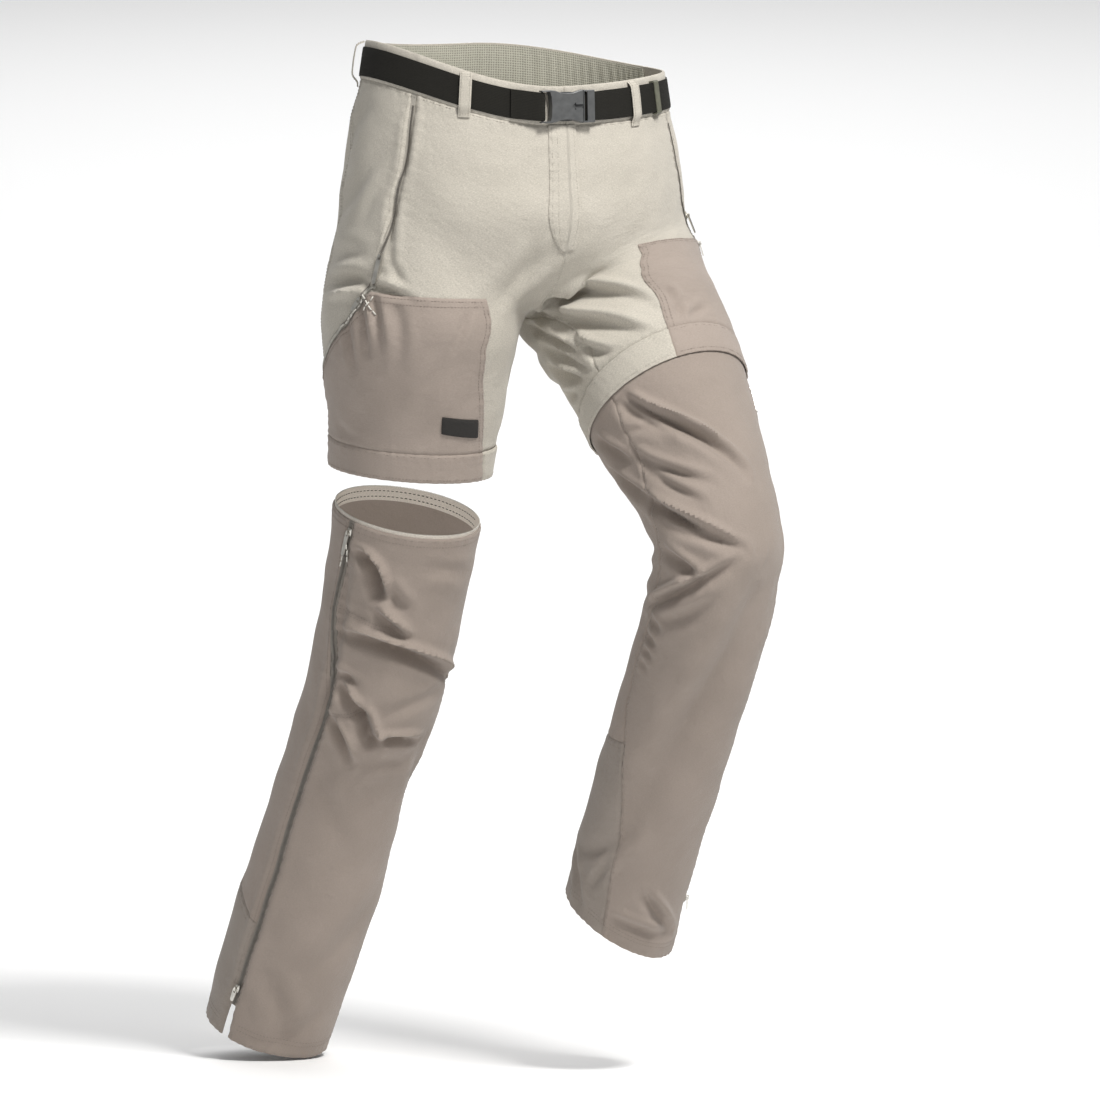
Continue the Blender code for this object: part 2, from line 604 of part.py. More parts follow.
def trimmed(block, edges, amount=SEAM / 2):
    """A block cut back along some of its edges: t, b, l and r."""
    points, normals = block
    result = points.copy()
    if "t" in edges:
        result[0] += unit(points[1] - points[0]) * amount
    if "b" in edges:
        result[-1] += unit(points[-2] - points[-1]) * amount
    if "l" in edges:
        result[:, 0] += unit(points[:, 1] - points[:, 0]) * amount
    if "r" in edges:
        result[:, -1] += unit(points[:, -2] - points[:, -1]) * amount
    return result, normals


def finish_mesh(name, bm, material):
    """A closed body with its faces out, as a shaded object of its own."""
    bmesh.ops.remove_doubles(bm, verts=bm.verts, dist=MERGE)
    bmesh.ops.triangulate(bm, faces=[face for face in bm.faces if len(face.verts) > 4])
    bmesh.ops.recalc_face_normals(bm, faces=bm.faces)
    mesh = bpy.data.meshes.new(name)
    bm.to_mesh(mesh)
    bm.free()
    mesh.shade_smooth()
    mesh.set_sharp_from_angle(angle=math.radians(40))
    mesh.materials.append(material)
    thing = bpy.data.objects.new(name, mesh)
    bpy.context.scene.collection.objects.link(thing)
    return thing


def add_wall(name, block, inner, outer, material, closed=False):
    """A wall of cloth between two offsets of a block; a closed one runs all the way round."""
    points, normals = block
    rows, columns = points.shape[:2]
    if closed:
        columns -= 1
        points = points[:, :-1]
        normals = normals[:, :-1]
    bm = bmesh.new()
    faces = []
    layers = []
    for offset in (outer, inner):
        heights = np.broadcast_to(np.asarray(offset, dtype=float), (rows, columns))
        places = points + normals * heights[..., None]
        layers.append([[bm.verts.new(place) for place in row] for row in places])
    steps = columns if closed else columns - 1
    for i in range(rows - 1):
        for j in range(steps):
            k = (j + 1) % columns
            for layer in layers:
                a, b, c, d = layer[i][j], layer[i][k], layer[i + 1][k], layer[i + 1][j]
                faces.append((a, b, c))
                faces.append((a, c, d))
    top, under = layers
    for i in (0, rows - 1):
        for j in range(steps):
            k = (j + 1) % columns
            faces.append((top[i][j], top[i][k], under[i][k]))
            faces.append((top[i][j], under[i][k], under[i][j]))
    if not closed:
        for j in (0, columns - 1):
            for i in range(rows - 1):
                faces.append((top[i][j], top[i + 1][j], under[i + 1][j]))
                faces.append((top[i][j], under[i + 1][j], under[i][j]))
    for corners in faces:
        spread_out = {tuple(round(value, 7) for value in corner.co) for corner in corners}
        if len(spread_out) == 3:
            bm.faces.new(corners)
    return finish_mesh(name, bm, material)


def add_ring_solid(name, outer, inner, frame, material):
    """A link with one hole: paired outer and inner points of its side view, each with a half width.

    The side view lies in the frame's second and third axes; the half widths run along its first.
    """
    origin, across, along, out = frame
    bm = bmesh.new()
    loops = []
    for points in (outer, inner):
        for sign in (1, -1):
            loops.append([
                bm.verts.new(origin + across * (sign * half) + along * y + out * z)
                for y, z, half in points
            ])
    outer_plus, outer_minus, inner_plus, inner_minus = loops
    count = len(outer)
    for k in range(count):
        m = (k + 1) % count
        for first, second in ((outer_plus, inner_plus), (outer_minus, inner_minus),
                              (outer_plus, outer_minus), (inner_plus, inner_minus)):
            bm.faces.new((first[k], first[m], second[m]))
            bm.faces.new((first[k], second[m], second[k]))
    return finish_mesh(name, bm, material)


def frame_at(lattice, down, share, down_step, share_step):
    """Axes on a facet: across, along the given step, and straight out of the cloth."""
    origin, normal, _ = lattice.facet(down, share)
    ahead = lattice.facet(down + down_step, share + share_step)[0]
    along = ahead - origin
    along = unit(along - normal * (along @ normal))
    return origin, np.cross(along, normal), along, normal


def upper_lattice(surface, name):
    """Rows and columns from the waist to the short hem."""
    pocket = POCKET_ROW[name]
    hem = SHORT_HEM[name]
    zip_end = POCKET_TOP[name] + 0.010
    zip_front = line([(part * POCKET_TOP[name], share - ZIP_SHARE / 2) for part, share in HAND_ZIP])
    pocket_row = line(pocket)
    band_seam = hem_line(hem, -BAND)

    def zip_back(down):
        """The zip opening has its width only above the thigh pocket."""
        return zip_front(down) + np.where(down < zip_end, ZIP_SHARE, 0.0)

    def crotch_row(share):
        """The row after the pocket's edge, drawn to the crotch at both centre seams."""
        row = pocket_row(share) * 6 / 7 + band_seam(share) / 7
        centre = pocket_row(0.0) * 6 / 7 + band_seam(0.0) / 7
        return row + (CROTCH_DOWN - centre) * (1 - ease(np.minimum(share, 1 - share) / 0.1))

    rows = (
        ("waist_top", level(0.0), 1),
        ("belt_top", level(BELT_TOP), 1),
        ("belt_low", level(BELT_LOW), 1),
        ("waist_seam", level(WAIST_SEAM), 9),
        ("above_pocket", line(pocket, -ZIP_TAPE_WIDTH), 1),
        ("pocket_top", pocket_row, 1),
        ("crotch", crotch_row, 6),
        ("band_seam", band_seam, 1),
        ("band_middle", hem_line(hem, -BAND / 2), 1),
        ("zip_low", hem_line(hem, -ZIP_COVER), 1),
        ("hem", hem_line(hem), 0),
    )
    columns = (
        ("centre_front", level(0.0), 1),
        ("fly", level(FLY_EDGE[name]), 4),
        ("pocket_inner", line(POCKET_EDGE[name]), 8),
        ("zip_front", zip_front, 1),
        ("zip_back", zip_back, 5),
        ("outseam", level(OUTSEAM), 11),
        ("centre_back", level(1.0), 0),
    )
    return Lattice(surface, rows, columns)


def leg_lattice(surface, name):
    """Rows and columns of a lower leg; only the loose one has a zip tape above its edge."""
    hem = LONG_HEM[name]
    if name == "loose":
        top = (
            ("tape_top", level(LEG_TOP - ZIP_TAPE_ABOVE), 1),
            ("edge", level(LEG_TOP), 1),
        )
        edge = level(LEG_TOP)
    else:
        edge = hem_line(SHORT_HEM["left"], -ZIP_COVER)
        top = (("edge", edge, 2),)

    def zip_middle(down):
        """The side zip's own line."""
        return line(LEG_ZIP)(down)

    def half_opening(down):
        """Half the zip's width, wider in the slit at the hem."""
        slit = ease((down - (hem[0] - SLIT_LENGTH)) / SLIT_LENGTH)
        return LEG_ZIP_SHARE / 2 + (SLIT_SHARE - LEG_ZIP_SHARE) / 2 * slit

    rows = top + (
        ("tape_low", lambda share: edge(share) + ZIP_TAPE_BELOW, 16),
        ("knee_low", level(0.700), 3),
        ("calf", line(CALF_ROW), 3),
        ("slit", hem_line(hem, -SLIT_LENGTH), 2),
        ("hem", hem_line(hem), 0),
    )
    columns = (
        ("inseam", level(0.0), 10),
        ("zip_front", lambda down: zip_middle(down) - half_opening(down), 1),
        ("zip_back", lambda down: zip_middle(down) + half_opening(down), 11),
        ("inseam_end", level(1.0), 0),
    )
    return Lattice(surface, rows, columns)


def add_upper(name, lattice, cloth, pocket_cloth, tape):
    """One side's panels, pocket, zip tapes and hem band."""
    cut = lattice.block
    add_wall(f"front_{name}", trimmed(cut("waist_seam", "band_seam", "centre_front", "zip_front"), "tblr"),
             -WALL, 0.0, cloth)
    add_wall(f"side_{name}", trimmed(cut("waist_seam", "band_seam", "zip_back", "outseam"), "tblr"),
             -WALL, 0.0, cloth)
    add_wall(f"back_{name}", trimmed(cut("waist_seam", "band_seam", "outseam", "centre_back"), "tblr"),
             -WALL, 0.0, cloth)
    add_wall(f"hand_zip_tape_{name}", trimmed(cut("waist_seam", "pocket_top", "zip_front", "zip_back"), "tblr"),
             -WALL, -TAPE_SINK, tape)
    add_wall(f"thigh_pocket_{name}", trimmed(cut("pocket_top", "band_seam", "pocket_inner", "outseam"), "tb"),
             LAYER_GAP, POCKET_OUTER, pocket_cloth)
    add_wall(f"thigh_zip_tape_{name}", trimmed(cut("above_pocket", "pocket_top", "zip_back", "outseam"), "b"),
             LAYER_GAP, TAPE_OUTER, tape)
    band_inner = np.array(BAND_STAND_OFF)[:, None]
    light_band = joined(cut("band_seam", "hem", "outseam", "centre_back"),
                        cut("band_seam", "hem", "centre_front", "pocket_inner"))
    add_wall(f"hem_band_{name}", trimmed(light_band, "tlr"), band_inner, band_inner + BAND_WALL, cloth)
    pocket_band = cut("band_seam", "hem", "pocket_inner", "outseam")
    add_wall(f"hem_band_pocket_{name}", trimmed(pocket_band, "tlr"),
             band_inner, band_inner + BAND_WALL, pocket_cloth)
    add_wall(f"leg_zip_upper_{name}",
             trimmed(cut("band_seam", "zip_low", "centre_front", "centre_back"), "tb", SEAM),
             -WALL, -TAPE_SINK, tape, closed=True)


def add_lower(name, lattice, cloth, calf_cloth, tape):
    """One lower leg: front, two back pieces and the side zip's tape."""
    cut = lattice.block
    add_wall(f"leg_front_{name}", trimmed(cut("edge", "hem", "inseam", "zip_front"), "tlr", SEAM),
             -WALL, 0.0, cloth)
    add_wall(f"leg_back_{name}", trimmed(cut("edge", "calf", "zip_back", "inseam_end"), "tblr", SEAM),
             -WALL, 0.0, cloth)
    add_wall(f"calf_{name}", trimmed(cut("calf", "hem", "zip_back", "inseam_end"), "tlr", SEAM),
             -WALL, 0.0, calf_cloth)
    add_wall(f"side_zip_tape_{name}", trimmed(cut("edge", "slit", "zip_front", "zip_back"), "tlr", SEAM / 2),
             -WALL, -TAPE_SINK, tape)


def add_waist(lattices, cloth, mesh_cloth):
    """Waistband, its facing inside the back, and the fly."""
    right, left = lattices["right"].block, lattices["left"].block
    rows = ("waist_top", "waist_seam")
    add_wall("waistband_front_right", trimmed(right(*rows, "centre_front", "outseam"), "blr"),
             -WALL, WAISTBAND_OUTER, cloth)
    add_wall("waistband_front_left", trimmed(left(*rows, "centre_front", "outseam"), "blr"),
             -WALL, WAISTBAND_OUTER, cloth)
    back = joined(right(*rows, "outseam", "centre_back"), mirrored(left(*rows, "outseam", "centre_back")))
    add_wall("waistband_back", trimmed(back, "blr"), -WALL, WAISTBAND_OUTER, cloth)
    add_wall("waist_facing", trimmed(back, "t", FACING_DROP), -WALL - LAYER_GAP - FACING_WALL,
             -WALL - LAYER_GAP, mesh_cloth)
    fly_rows = ("waist_seam", f"waist_seam+{FLY_ROWS}")
    points, normals = joined(mirrored(right(*fly_rows, "centre_front", "fly")),
                             left(*fly_rows, "centre_front", "fly"))
    points = points.copy()
    for row, share in FLY_ROUNDING:
        points[row, 0] += (points[row, 1] - points[row, 0]) * share
    add_wall("fly", trimmed((points, normals), "t"), LAYER_GAP, LAYER_GAP + FLY_WALL, cloth)


def buckle_frame(lattices):
    """The buckle's middle and its axes: towards the wearer's left, up, and out."""
    right, left = [lattices[name].facet(BELT_MIDDLE, share)[0] for name, share in BUCKLE_ENDS.items()]
    normal = lattices["right"].facet(BELT_MIDDLE, 0.0)[2]
    x_axis = unit(left - right)
    z_axis = unit(normal - x_axis * (normal @ x_axis))
    return (right + left) / 2 + z_axis * BUCKLE_HEIGHT, x_axis, np.cross(z_axis, x_axis), z_axis


def add_belt(lattices, webbing):
    """The belt in one piece: sewn back round the socket's bar at one end, through the ladder at the other."""
    origin, x_axis, y_axis, z_axis = buckle_frame(lattices)
    right, left = lattices["right"].block, lattices["left"].block
    rows = ("belt_top", "belt_low")
    near = BELT_INNER + BELT_WALL / 2
    over = near + BELT_WALL + LAYER_GAP

    def on_body(block, height, facing):
        """Middle line of the webbing over the waistband, with the side that faces away from the bars."""
        points, normals = block
        return points + normals * height, normals * facing

    def round_bar(bar, toward):
        """The turn round a buckle bar, from its outer face to its inner one."""
        along, height, lead = bar
        angles = np.linspace(math.pi / 2, -math.pi / 2, BAR_STEPS)
        away = np.cos(angles)[:, None] * x_axis * toward + np.sin(angles)[:, None] * z_axis
        middle = origin + x_axis * along + z_axis * height
        centres = middle + away * (BAR_HALF + BAR_GAP + BELT_WALL / 2)
        straight = x_axis * toward * lead
        centres = np.concatenate((centres[:1] - straight, centres, centres[-1:] - straight))
        away = np.concatenate((away[:1], away, away[-1:]))
        return np.stack((centres + y_axis * BELT_HALF, centres - y_axis * BELT_HALF)), np.stack((away, away))

    socket_turn = round_bar(SOCKET_BAR, 1.0)
    ladder_turn = round_bar(LADDER_BAR, -1.0)
    turned = (ladder_turn[0][:, ::-1], ladder_turn[1][:, ::-1])
    keeper = np.zeros(KEEPER_COLUMNS[1] + 1)
    keeper[list(KEEPER_COLUMNS)] = KEEPER_LIFT
    side = left(*rows, "fly+2", "centre_back")
    lift = np.zeros(side[0].shape[1])
    lift[:len(keeper)] = keeper
    tail = left(*rows, "fly+2", f"pocket_inner+{TAIL_COLUMNS}")
    tail_lift = np.zeros(tail[0].shape[1])
    tail_lift[:len(keeper)] = keeper
    parts = (
        on_body(right(*rows, "fly+2", "fly+2"), over, 1.0),
        socket_turn,
        on_body(right(*rows, "fly+2", "centre_back"), near, -1.0),
        on_body(mirrored(left(*rows, "fly+2", "centre_back")), near + lift[::-1][None, :, None], -1.0),
        turned,
        on_body(tail, over + tail_lift[None, :, None], 1.0),
    )
    points = np.concatenate([part[0] for part in parts], axis=1)
    normals = np.concatenate([part[1] for part in parts], axis=1)
    points[:, 0] += (points[:, 1] - points[:, 0]) * TURN_BACK_CUT
    add_wall("belt", (points, normals), -BELT_WALL / 2, BELT_WALL / 2, webbing)


def add_strip(name, lattice, share, profile, width, thickness, material):
    """A strip across the waistband: a profile of (down, height) points swept over its width."""
    middle, _, out = lattice.facet(BELT_MIDDLE, share)
    down_axis = unit(lattice.facet(WAIST_SEAM, share)[0] - middle)
    across = unit(np.cross(down_axis, out))
    centres = np.stack([lattice.facet(down, share)[0] + out * height for down, height in profile])
    steps = unit(np.diff(centres, axis=0))
    tangents = unit(np.concatenate((steps[:1], steps[1:] + steps[:-1], steps[-1:])))
    outward = unit(np.cross(tangents, across))
    outward *= np.sign(outward @ out)[:, None]
    spans = np.concatenate((steps[:1], steps))
    miter = 1 / np.maximum(np.linalg.norm(np.cross(spans, outward), axis=1), 0.6)
    sides = across * width / 2
    points = np.stack((centres - sides, centres + sides), axis=1)
    normals = np.repeat((outward * miter[:, None])[:, None, :], 2, axis=1)
    return add_wall(name, (points, normals), -thickness / 2, thickness / 2, material)


def add_loops(lattices, cloth, keeper_plastic):
    """Belt loops, sewn above and below the belt, and the keeper that holds the belt's tail."""
    for name, side, share, height in BELT_LOOPS:
        profile = [(down, LOOP_FOOT + part * (height - LOOP_FOOT)) for down, part in LOOP_SHAPE]
        add_strip(f"belt_loop_{name}", lattices[side], share, profile, LOOP_WIDTH, LOOP_WALL, cloth)
    origin, _, out = lattices["left"].facet(BELT_MIDDLE, KEEPER_SHARE)
    down_axis = unit(lattices["left"].facet(WAIST_SEAM, KEEPER_SHARE)[0] - origin)
    across = unit(np.cross(down_axis, out))
    frame = (origin, across, down_axis, out)
    loops = [[(down, height, KEEPER_WIDTH / 2) for down, height in loop] for loop in (KEEPER_OUTER, KEEPER_INNER)]
    add_ring_solid("belt_keeper", *loops, frame, keeper_plastic)


def add_plate(name, outline, low, high, frame, material, bevel=0.0):
    """A flat plate from an outline in the frame's first two axes, between two heights."""
    origin, x_axis, y_axis, z_axis = frame
    bm = bmesh.new()
    corners = [bm.verts.new(origin + x_axis * x + y_axis * y + z_axis * low) for x, y in outline]
    face = bm.faces.new(corners)
    raised = bmesh.ops.extrude_face_region(bm, geom=[face])
    moved = [item for item in raised["geom"] if isinstance(item, bmesh.types.BMVert)]
    bmesh.ops.translate(bm, vec=tuple((high - low) * z_axis), verts=moved)
    if bevel:
        bmesh.ops.recalc_face_normals(bm, faces=bm.faces)
        rims = [edge for edge in bm.edges
                if abs(np.array(edge.verts[0].co - edge.verts[1].co) @ z_axis) < 1e-6]
        bmesh.ops.bevel(bm, geom=rims, offset=bevel, segments=2, profile=0.5, affect="EDGES")
    return finish_mesh(name, bm, material)


def combine(target, tool, operation):
    """A Boolean between a piece and its tool, which stays hidden."""
    tool.hide_render = True
    tool.display_type = "WIRE"
    modifier = target.modifiers.new(tool.name, "BOOLEAN")
    modifier.operation = operation
    modifier.solver = "EXACT"
    modifier.object = tool


def box_outline(x_low, x_high, half):
    """A rectangle across the buckle as an outline."""
    return ((x_low, -half), (x_high, -half), (x_high, half), (x_low, half))


def add_buckle(lattices, plastic):
    """The fastened side-release buckle: a socket half, and a prong half that holds the tail."""
    frame = buckle_frame(lattices)
    thick = BUCKLE_HALF_THICK
    outline = [(x, -half) for x, half in SOCKET_SIDE] + [(x, half) for x, half in reversed(SOCKET_SIDE)]
    socket = add_plate("buckle_socket", outline, -thick, thick, frame, plastic, BUCKLE_BEVEL)
    # name, outline, low, high, operation
    steps = (
        ("cut_socket", box_outline(-0.0135, BUCKLE_JOIN + 0.001, 0.0118), -0.0026, 0.0026, "DIFFERENCE"),
        ("cut_windows", box_outline(-0.0132, 0.0072, 0.0200), -0.0023, 0.0023, "DIFFERENCE"),
        ("cut_crescent", SOCKET_CRESCENT, -0.006, 0.006, "DIFFERENCE"),
        ("cut_arrow", SOCKET_ARROW, 0.0, 0.006, "DIFFERENCE"),
        ("add_socket_bar", box_outline(SOCKET_BAR[0] - BAR_HALF, SOCKET_BAR[0] + BAR_HALF, 0.0160),
         SOCKET_BAR[1] - BAR_HALF, SOCKET_BAR[1] + BAR_HALF, "UNION"),
    )
    for name, outline, low, high, operation in steps:
        combine(socket, add_plate(name, outline, low, high, frame, plastic), operation)

    start = BUCKLE_JOIN + SEAM
    root = start + 0.0006
    prongs = add_plate("buckle_prongs", box_outline(start, BUCKLE_END, 0.0168), -0.0040, 0.0042, frame,
                       plastic, BUCKLE_BEVEL)
    upper = [*PRONG_OUTLINE, (root, 0.0112), (root, 0.0072)]
    lower = [(x, -y) for x, y in upper]
    steps = (
        ("cut_ladder", box_outline(start + 0.0010, 0.0310, BUCKLE_LUG), -0.006, 0.006, "DIFFERENCE"),
        ("add_ladder_bar", box_outline(LADDER_BAR[0] - BAR_HALF, LADDER_BAR[0] + BAR_HALF, 0.0160),
         LADDER_BAR[1] - BAR_HALF, LADDER_BAR[1] + BAR_HALF, "UNION"),
        ("add_front_bar", box_outline(0.0218, 0.0298, 0.0160), 0.0015, 0.0041, "UNION"),
        ("add_tongue", box_outline(-0.0100, root, 0.0030), -0.0018, 0.0018, "UNION"),
        ("add_prong_upper", upper, -0.0018, 0.0018, "UNION"),
        ("add_prong_lower", lower, -0.0018, 0.0018, "UNION"),
    )
    for name, outline, low, high, operation in steps:
        combine(prongs, add_plate(name, outline, low, high, frame, plastic), operation)


def add_label(lattice, material):
    """The bare patch sewn low on the right thigh pocket."""
    points = []
    normals = []
    for row in np.linspace(0, 1, 3):
        places = [np.array(LABEL_CORNERS[k]) for k in range(4)]
        start = places[0] * (1 - row) + places[3] * row
        end = places[1] * (1 - row) + places[2] * row
        spots = [lattice.facet(*(start * (1 - part) + end * part)) for part in np.linspace(0, 1, 6)]
        points.append([spot[0] for spot in spots])
        normals.append([spot[1] for spot in spots])
    middle = unit(np.mean(np.array(normals), axis=0))
    normals = np.broadcast_to(middle, np.array(points).shape)
    add_wall("label", (np.array(points), np.array(normals)), LABEL_INNER, LABEL_INNER + LABEL_WALL, material)


def add_sliders(lattices, metal):
    """Zip sliders with their pull tabs, each tab turning on the bar that passes under its bridge."""
    for name, where, down, share, down_step, share_step, lift, length, tilt in SLIDERS:
        origin, across, along, out = frame_at(lattices[where], down, share, down_step, share_step)
        seat = (origin + out * lift, across, along, out)
        add_ring_solid(f"slider_{name}", SLIDER_OUTER, SLIDER_INNER, seat, metal)
        hinge = origin + out * (lift + SLIDER_AXIS)
        angle = math.radians(tilt)
        tab_along = along * math.cos(angle) + out * math.sin(angle)
        tab_out = out * math.cos(angle) - along * math.sin(angle)
        outer = [(y if y < PULL_NECK else length - (PULL_REACH - y), z, PULL_THICK / 2) for y, z in PULL_OUTER]
        inner = [(y, z, PULL_THICK / 2) for y, z in PULL_INNER]
        tab = add_ring_solid(f"pull_{name}", outer, inner, (np.zeros(3), tab_out, tab_along, across), metal)
        tab.location = tuple(hinge)


def make_material(name, colour, roughness, metallic=0.0):
    """A plain surface for one kind of cloth or hardware."""
    material = bpy.data.materials.new(name)
    material.use_nodes = True
    shader = material.node_tree.nodes["Principled BSDF"]
    shader.inputs["Base Color"].default_value = (*colour, 1.0)
    shader.inputs["Roughness"].default_value = roughness
    shader.inputs["Metallic"].default_value = metallic
    return material


def main():
    """Clear the scene and build every piece."""
    for thing in list(bpy.data.objects):
        bpy.data.objects.remove(thing, do_unlink=True)
    stone = make_material("stone_cloth", (0.60, 0.58, 0.52), 0.85)
    taupe = make_material("taupe_cloth", (0.36, 0.32, 0.28), 0.85)
    calf = make_material("calf_cloth", (0.33, 0.31, 0.28), 0.85)
    mesh_cloth = make_material("mesh_cloth", (0.34, 0.34, 0.29), 0.9)
    tape = make_material("zip_tape", (0.30, 0.28, 0.25), 0.8)
    webbing = make_material("webbing", (0.035, 0.032, 0.024), 0.7)
    plastic = make_material("buckle_plastic", (0.09, 0.09, 0.09), 0.45)
    keeper = make_material("keeper_plastic", (0.12, 0.12, 0.09), 0.5)
    label = make_material("label_cloth", (0.025, 0.024, 0.022), 0.6)
    metal = make_material("slider_metal", (0.62, 0.60, 0.55), 0.35, 0.9)

    surfaces = body_surfaces()
    uppers = {name: upper_lattice(surfaces[name], name) for name in ("right", "left")}
    lowers = {
        "left": leg_lattice(surfaces["left"], "left"),
        "loose": leg_lattice(loose_surface(), "loose"),
    }
    for name, lattice in uppers.items():
        add_upper(name, lattice, stone, taupe, tape)
    for name, lattice in lowers.items():
        add_lower(name, lattice, taupe, calf, tape)
    tape_ring = lowers["loose"].block("tape_top", "tape_low", "inseam", "inseam_end")
    add_wall("leg_zip_lower_loose", tape_ring, -WALL - LAYER_GAP - FACING_WALL, -WALL - LAYER_GAP,
             tape, closed=True)
    add_waist(uppers, stone, mesh_cloth)
    add_belt(uppers, webbing)
    add_loops(uppers, stone, keeper)
    add_buckle(uppers, plastic)
    add_label(uppers["right"], label)
    places = {
        "upper_right": uppers["right"],
        "upper_left": uppers["left"],
        "lower_left": lowers["left"],
        "lower_loose": lowers["loose"],
    }
    add_sliders(places, metal)


if __name__ == "__main__":
    main()
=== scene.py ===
"""Looks of the convertible zip-off trousers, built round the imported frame.

Metres, +Z up. The wearer faces -Y, the wearer's left is +X, and the origin is the centre of the
waist. Each tube of cloth is one smooth surface, addressed by how far down it lies and how far round
it lies. Every panel is a thin shell on that surface, with the folds, seams and sewing laid on it.
"""
import math

import bmesh
import bpy
import numpy as np
from mathutils import Matrix, Vector


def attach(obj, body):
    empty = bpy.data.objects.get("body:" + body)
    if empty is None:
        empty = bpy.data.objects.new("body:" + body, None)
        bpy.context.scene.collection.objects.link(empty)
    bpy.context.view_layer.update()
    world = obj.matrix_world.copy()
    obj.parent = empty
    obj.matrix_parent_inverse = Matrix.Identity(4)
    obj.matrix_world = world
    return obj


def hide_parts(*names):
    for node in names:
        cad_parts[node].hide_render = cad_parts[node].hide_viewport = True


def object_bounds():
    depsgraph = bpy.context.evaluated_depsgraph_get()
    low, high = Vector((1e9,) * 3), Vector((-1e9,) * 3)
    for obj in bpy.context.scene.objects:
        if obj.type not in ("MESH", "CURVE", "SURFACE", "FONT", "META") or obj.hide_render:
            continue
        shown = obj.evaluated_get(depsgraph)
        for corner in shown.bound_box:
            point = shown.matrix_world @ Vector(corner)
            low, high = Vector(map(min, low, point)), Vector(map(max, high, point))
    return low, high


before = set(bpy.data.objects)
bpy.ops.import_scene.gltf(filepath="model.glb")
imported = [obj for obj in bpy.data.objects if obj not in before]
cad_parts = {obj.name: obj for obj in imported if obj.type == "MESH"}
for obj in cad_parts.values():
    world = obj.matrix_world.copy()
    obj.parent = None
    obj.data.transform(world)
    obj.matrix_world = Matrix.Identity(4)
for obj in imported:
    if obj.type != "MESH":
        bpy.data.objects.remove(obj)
cad_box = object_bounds()

# Cloth and seam sizes, as in the solids.
WALL = 0.0014
LAYER_GAP = 0.0004
GRID_STEP = 0.008
GRID_COLUMNS = 64
CELL = 0.0024

# How far down the side the pieces begin and end.
WAIST_SEAM = 0.040
BELT_TOP = 0.007
BELT_LOW = 0.037
BAND = 0.031
ZIP_COVER = 0.008
LEG_TOP = 0.435
ZIP_TAPE_ABOVE = 0.003
ZIP_TAPE_BELOW = 0.012
ZIP_TAPE_WIDTH = 0.0075
TURN_UP = 0.020

# Places round the body: 0 is centre front or the inseam, 0.5 the side, 1 centre back or the inseam.
OUTSEAM = 0.56
FLY_EDGE = {"right": 0.036, "left": 0.022}
ZIP_SHARE = 0.012
LEG_ZIP_SHARE = 0.015
SLIT_SHARE = 0.022
SLIT_LENGTH = 0.035
ROUND_LENGTH = 0.46

# Hems: mean height, tilt and where round the leg the tilt is greatest.
SHORT_HEM = {"right": (0.428, -0.009, 0.27), "left": (0.406, -0.004, 0.33)}
LONG_HEM = {"loose": (1.016, 0.0, 0.0), "left": (1.024, 0.019, 0.37)}

# The thigh pocket's upper edge carried all round: share round the body, down.
POCKET_TOP = {"right": 0.235, "left": 0.203}
POCKET_ROW = {
    "right": ((0.0, 0.235), (0.413, POCKET_TOP["right"]), (OUTSEAM, 0.340), (1.0, 0.235)),
    "left": ((0.0, 0.235), (0.17, POCKET_TOP["left"]), (0.413, POCKET_TOP["left"]), (OUTSEAM, 0.308),
             (1.0, 0.235)),
}
# The thigh pocket's inner edge: down, share.
POCKET_EDGE = {
    "right": ((0.16, 0.185), (0.237, 0.203), (0.279, 0.215), (0.33, 0.182), (0.378, 0.155), (0.423, 0.13)),
    "left": ((0.15, 0.165), (0.201, 0.185), (0.228, 0.214), (0.262, 0.228), (0.318, 0.214), (0.356, 0.202),
             (0.402, 0.190)),
}
# The hand pocket zip: part of the way down to the thigh pocket, share.
HAND_ZIP = ((0.0, 0.328), (0.51, 0.333), (0.70, 0.343), (0.85, 0.383), (1.0, 0.413))
# The inner leg seam, which the pose draws forward on the thigh and back at the knee: down, share.
INSEAM = {
    "right": ((0.0, 0.0), (1.0, 0.0)),
    "loose": ((0.0, 0.0), (1.1, 0.0)),
    "left": ((0.255, 0.0), (0.270, 0.040), (0.290, 0.060), (0.315, 0.062), (0.366, 0.042), (0.411, 0.040),
             (0.450, 0.028), (0.488, 0.010), (0.524, -0.022), (0.562, -0.045), (0.650, -0.060), (0.704, -0.066),
             (0.760, -0.052), (0.800, -0.010), (0.844, 0.020), (0.904, 0.048), (1.050, 0.075)),
}
# The side zip of a lower leg: down, share.
LEG_ZIP = ((0.53, 0.425), (0.62, 0.378), (0.95, 0.382))
# The calf seam: share, down.
CALF_ROW = ((0.0, 0.797), (0.38, 0.890), (1.0, 0.797))

# Trunk rings, waist to hip.
# down, half width, depth in front, depth behind, z at front, right side, left side and back
TRUNK = (
    (0.000, 0.160, 0.118, 0.115, -0.017, 0.026, -0.015, 0.008),
    (0.040, 0.166, 0.122, 0.120, -0.057, -0.014, -0.055, -0.034),
    (0.105, 0.178, 0.128, 0.141, -0.108, -0.080, -0.112, -0.098),
    (0.170, 0.187, 0.128, 0.156, -0.165, -0.148, -0.172, -0.163),
)
# Centre seams between the hip ring and the crotch point.
# down, front y, front z, back y, back z
SEAT = (
    (0.198, -0.112, -0.205, 0.125, -0.215),
    (0.227, -0.075, -0.245, 0.065, -0.262),
)
CROTCH_DOWN = 0.255
CROTCH_POINT = (0.0, 0.005, -0.275)

